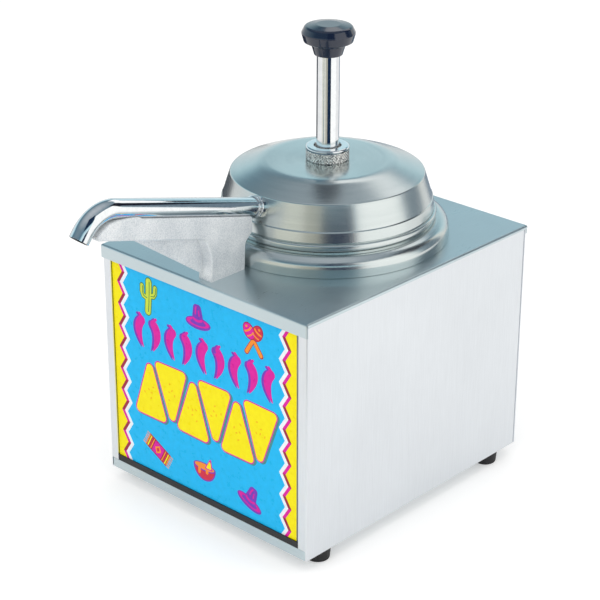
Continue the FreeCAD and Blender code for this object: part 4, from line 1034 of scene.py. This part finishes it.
# Floor, in metres, and how strongly it glows in reflections and as the camera sees it.
FLOOR_HALF = 12.0
FLOOR_GLOW = 0.18
FLOOR_GLOW_SEEN = 0.34

# Studio walls as reflections see them: (height from 0 at the horizon to 1 straight up, colour).
WALL_BANDS = (
    (0.0, (0.80, 0.84, 0.86)),
    (0.33, (0.66, 0.88, 0.95)),
    (0.43, (0.40, 0.64, 0.72)),
    (0.50, (0.10, 0.20, 0.28)),
    (0.72, (0.20, 0.28, 0.33)),
    (1.0, (0.50, 0.54, 0.58)),
)

# White surroundings as the camera sees them, and the share of them that lights the object.
SURROUND = (1.0, 0.995, 0.985)
SURROUND_LIGHT = 0.85


def add_camera():
    data = bpy.data.cameras.new("camera")
    data.lens = CAMERA_LENS
    camera = bpy.data.objects.new("camera", data)
    bpy.context.scene.collection.objects.link(camera)
    turn = Matrix.Rotation(CAMERA_AZIMUTH, 3, "Z") @ Matrix.Rotation(math.pi / 2 - CAMERA_ELEVATION, 3, "X")
    aim = (cad_box[0] + cad_box[1]) / 2 + Vector(CAMERA_AIM) * MM
    camera.location = aim + turn @ Vector((0, 0, CAMERA_DISTANCE * MM))
    camera.rotation_euler = (turn @ Matrix.Rotation(CAMERA_ROLL, 3, "Z")).to_euler()
    bpy.context.scene.camera = camera


def add_floor():
    """Plain counter that stays pale where the camera sees it."""
    corners = [(a * FLOOR_HALF, b * FLOOR_HALF, 0) for a, b in ((-1, -1), (1, -1), (1, 1), (-1, 1))]
    mesh = new_mesh("floor", corners, [(0, 1, 2, 3)])
    floor = bpy.data.objects.new("floor", mesh)
    bpy.context.scene.collection.objects.link(floor)
    paper = Finish("floor_paper", (0.80, 0.80, 0.80), 0.9)
    paper.shader.inputs["Emission Color"].default_value = (1, 1, 1, 1)
    seen = paper.node("ShaderNodeLightPath").outputs["Is Camera Ray"]
    strength = paper.spread(seen, FLOOR_GLOW, FLOOR_GLOW_SEEN, start=0, end=1)
    paper.feed(paper.shader.inputs["Emission Strength"], strength)
    paper.shader.inputs["Specular IOR Level"].default_value = 0.0
    mesh.materials.append(paper.material)


def glow(name, colour, strength):
    """Material that only gives off light."""
    material = bpy.data.materials.new(name)
    material.use_nodes = True
    nodes = material.node_tree.nodes
    nodes.clear()
    light = nodes.new("ShaderNodeEmission")
    light.inputs["Color"].default_value = (*colour, 1)
    light.inputs["Strength"].default_value = strength
    output = nodes.new("ShaderNodeOutputMaterial")
    material.node_tree.links.new(light.outputs[0], output.inputs[0])
    return material


def card(name, start, end, low, high, colour, strength, distance=0.64):
    """Upright panel round the pump that shows only in reflections.

    start and end are degrees from the camera's side, towards the viewer's right. low and high are
    heights above the floor in metres.
    """
    steps = 12
    verts = []
    for k in range(steps + 1):
        angle = CAMERA_AZIMUTH - math.pi / 2 + math.radians(start + (end - start) * k / steps)
        foot = Vector((AXIS.x + distance * math.cos(angle), AXIS.y + distance * math.sin(angle), low))
        verts += [foot, foot + Vector((0, 0, high - low))]
    faces = [(2 * k, 2 * k + 2, 2 * k + 3, 2 * k + 1) for k in range(steps)]
    mesh = bpy.data.meshes.new(name)
    mesh.from_pydata(verts, [], faces)
    mesh.materials.append(glow(name, colour, strength))
    panel = bpy.data.objects.new(name, mesh)
    bpy.context.scene.collection.objects.link(panel)
    panel.visible_camera = False
    panel.visible_diffuse = False
    panel.visible_shadow = False
    panel.visible_transmission = False


def add_cards():
    card("card_warm_left", -62, -24, 0.0, 0.46, (0.80, 0.79, 0.70), 1.0)
    card("card_warm_right", -24, -6, 0.0, 0.46, (0.50, 0.49, 0.42), 1.0)
    card("card_dark", -6, 27, 0.0, 0.42, (0.012, 0.03, 0.07), 1.0)
    card("card_bright", 29, 83, 0.0, 0.90, (1.0, 1.0, 0.98), 1.2)
    card("card_blue", 86, 118, 0.20, 0.60, (0.16, 0.22, 0.27), 1.0)
    card("card_stripe", 120, 128, 0.20, 0.60, (1.0, 0.96, 0.88), 1.1)
    card("card_dark_high", -6, 27, 0.58, 1.20, (0.012, 0.03, 0.07), 1.0)
    card("card_back", 123, 181, 0.82, 1.25, (1.0, 1.0, 1.0), 1.2, distance=0.75)
    card("card_flag", 84, 122, 0.56, 1.25, (0.008, 0.010, 0.02), 1.0, distance=0.75)
    card("card_edge_left", -172, -126, 0.0, 0.20, (0.05, 0.06, 0.08), 1.0)
    card("card_edge_right", 138, 176, 0.0, 0.20, (0.20, 0.27, 0.35), 1.0)


def softbox(name, azimuth, elevation, distance, size, power):
    """Square area light aimed at the object. Azimuth is from the camera's side, to the viewer's right."""
    data = bpy.data.lights.new(name, "AREA")
    data.size = size
    data.energy = power
    light = bpy.data.objects.new(name, data)
    bpy.context.scene.collection.objects.link(light)
    angle = CAMERA_AZIMUTH - math.pi / 2 + math.radians(azimuth)
    tilt = math.radians(elevation)
    way = Vector((math.cos(angle) * math.cos(tilt), math.sin(angle) * math.cos(tilt), math.sin(tilt)))
    light.location = (cad_box[0] + cad_box[1]) / 2 + way * distance
    light.rotation_euler = way.to_track_quat("Z", "Y").to_euler()
    light.visible_glossy = False


def add_lights():
    softbox("overhead", 20, 78, 1.8, 1.6, 5)
    softbox("front_fill", -35, 40, 2.2, 1.4, 5)
    softbox("right_fill", 60, 35, 2.2, 1.2, 3)


def add_world():
    """Studio walls that show only in reflections. The camera and the diffuse light see plain white."""
    world = bpy.data.worlds.new("studio")
    world.use_nodes = True
    tree = world.node_tree
    walls = tree.nodes["Background"]
    place = tree.nodes.new("ShaderNodeTexCoord")
    split = tree.nodes.new("ShaderNodeSeparateXYZ")
    tree.links.new(place.outputs["Generated"], split.inputs[0])
    ramp = tree.nodes.new("ShaderNodeValToRGB")
    tree.links.new(split.outputs["Z"], ramp.inputs["Fac"])
    stops = ramp.color_ramp.elements
    for height, colour in WALL_BANDS[1:-1]:
        stops.new(height)
    for stop, (height, colour) in zip(stops, WALL_BANDS):
        stop.color = (*colour, 1)
    tree.links.new(ramp.outputs["Color"], walls.inputs["Color"])
    plain = tree.nodes.new("ShaderNodeBackground")
    plain.inputs["Color"].default_value = (*SURROUND, 1)
    path = tree.nodes.new("ShaderNodeLightPath")
    level = tree.nodes.new("ShaderNodeMapRange")
    tree.links.new(path.outputs["Is Camera Ray"], level.inputs["Value"])
    level.inputs["To Min"].default_value = SURROUND_LIGHT
    tree.links.new(level.outputs["Result"], plain.inputs["Strength"])
    chosen = tree.nodes.new("ShaderNodeMixShader")
    tree.links.new(path.outputs["Is Glossy Ray"], chosen.inputs["Fac"])
    tree.links.new(plain.outputs[0], chosen.inputs[1])
    tree.links.new(walls.outputs[0], chosen.inputs[2])
    tree.links.new(chosen.outputs[0], tree.nodes["World Output"].inputs["Surface"])
    bpy.context.scene.world = world


add_camera()
dress_nodes()
spun_parts()
nut()
plunger()
return_spring()
spout()
brazed_ring()
sign_art()
dial_marks()
add_floor()
add_lights()
add_cards()
add_world()
bpy.context.scene.view_settings.view_transform = "Standard"
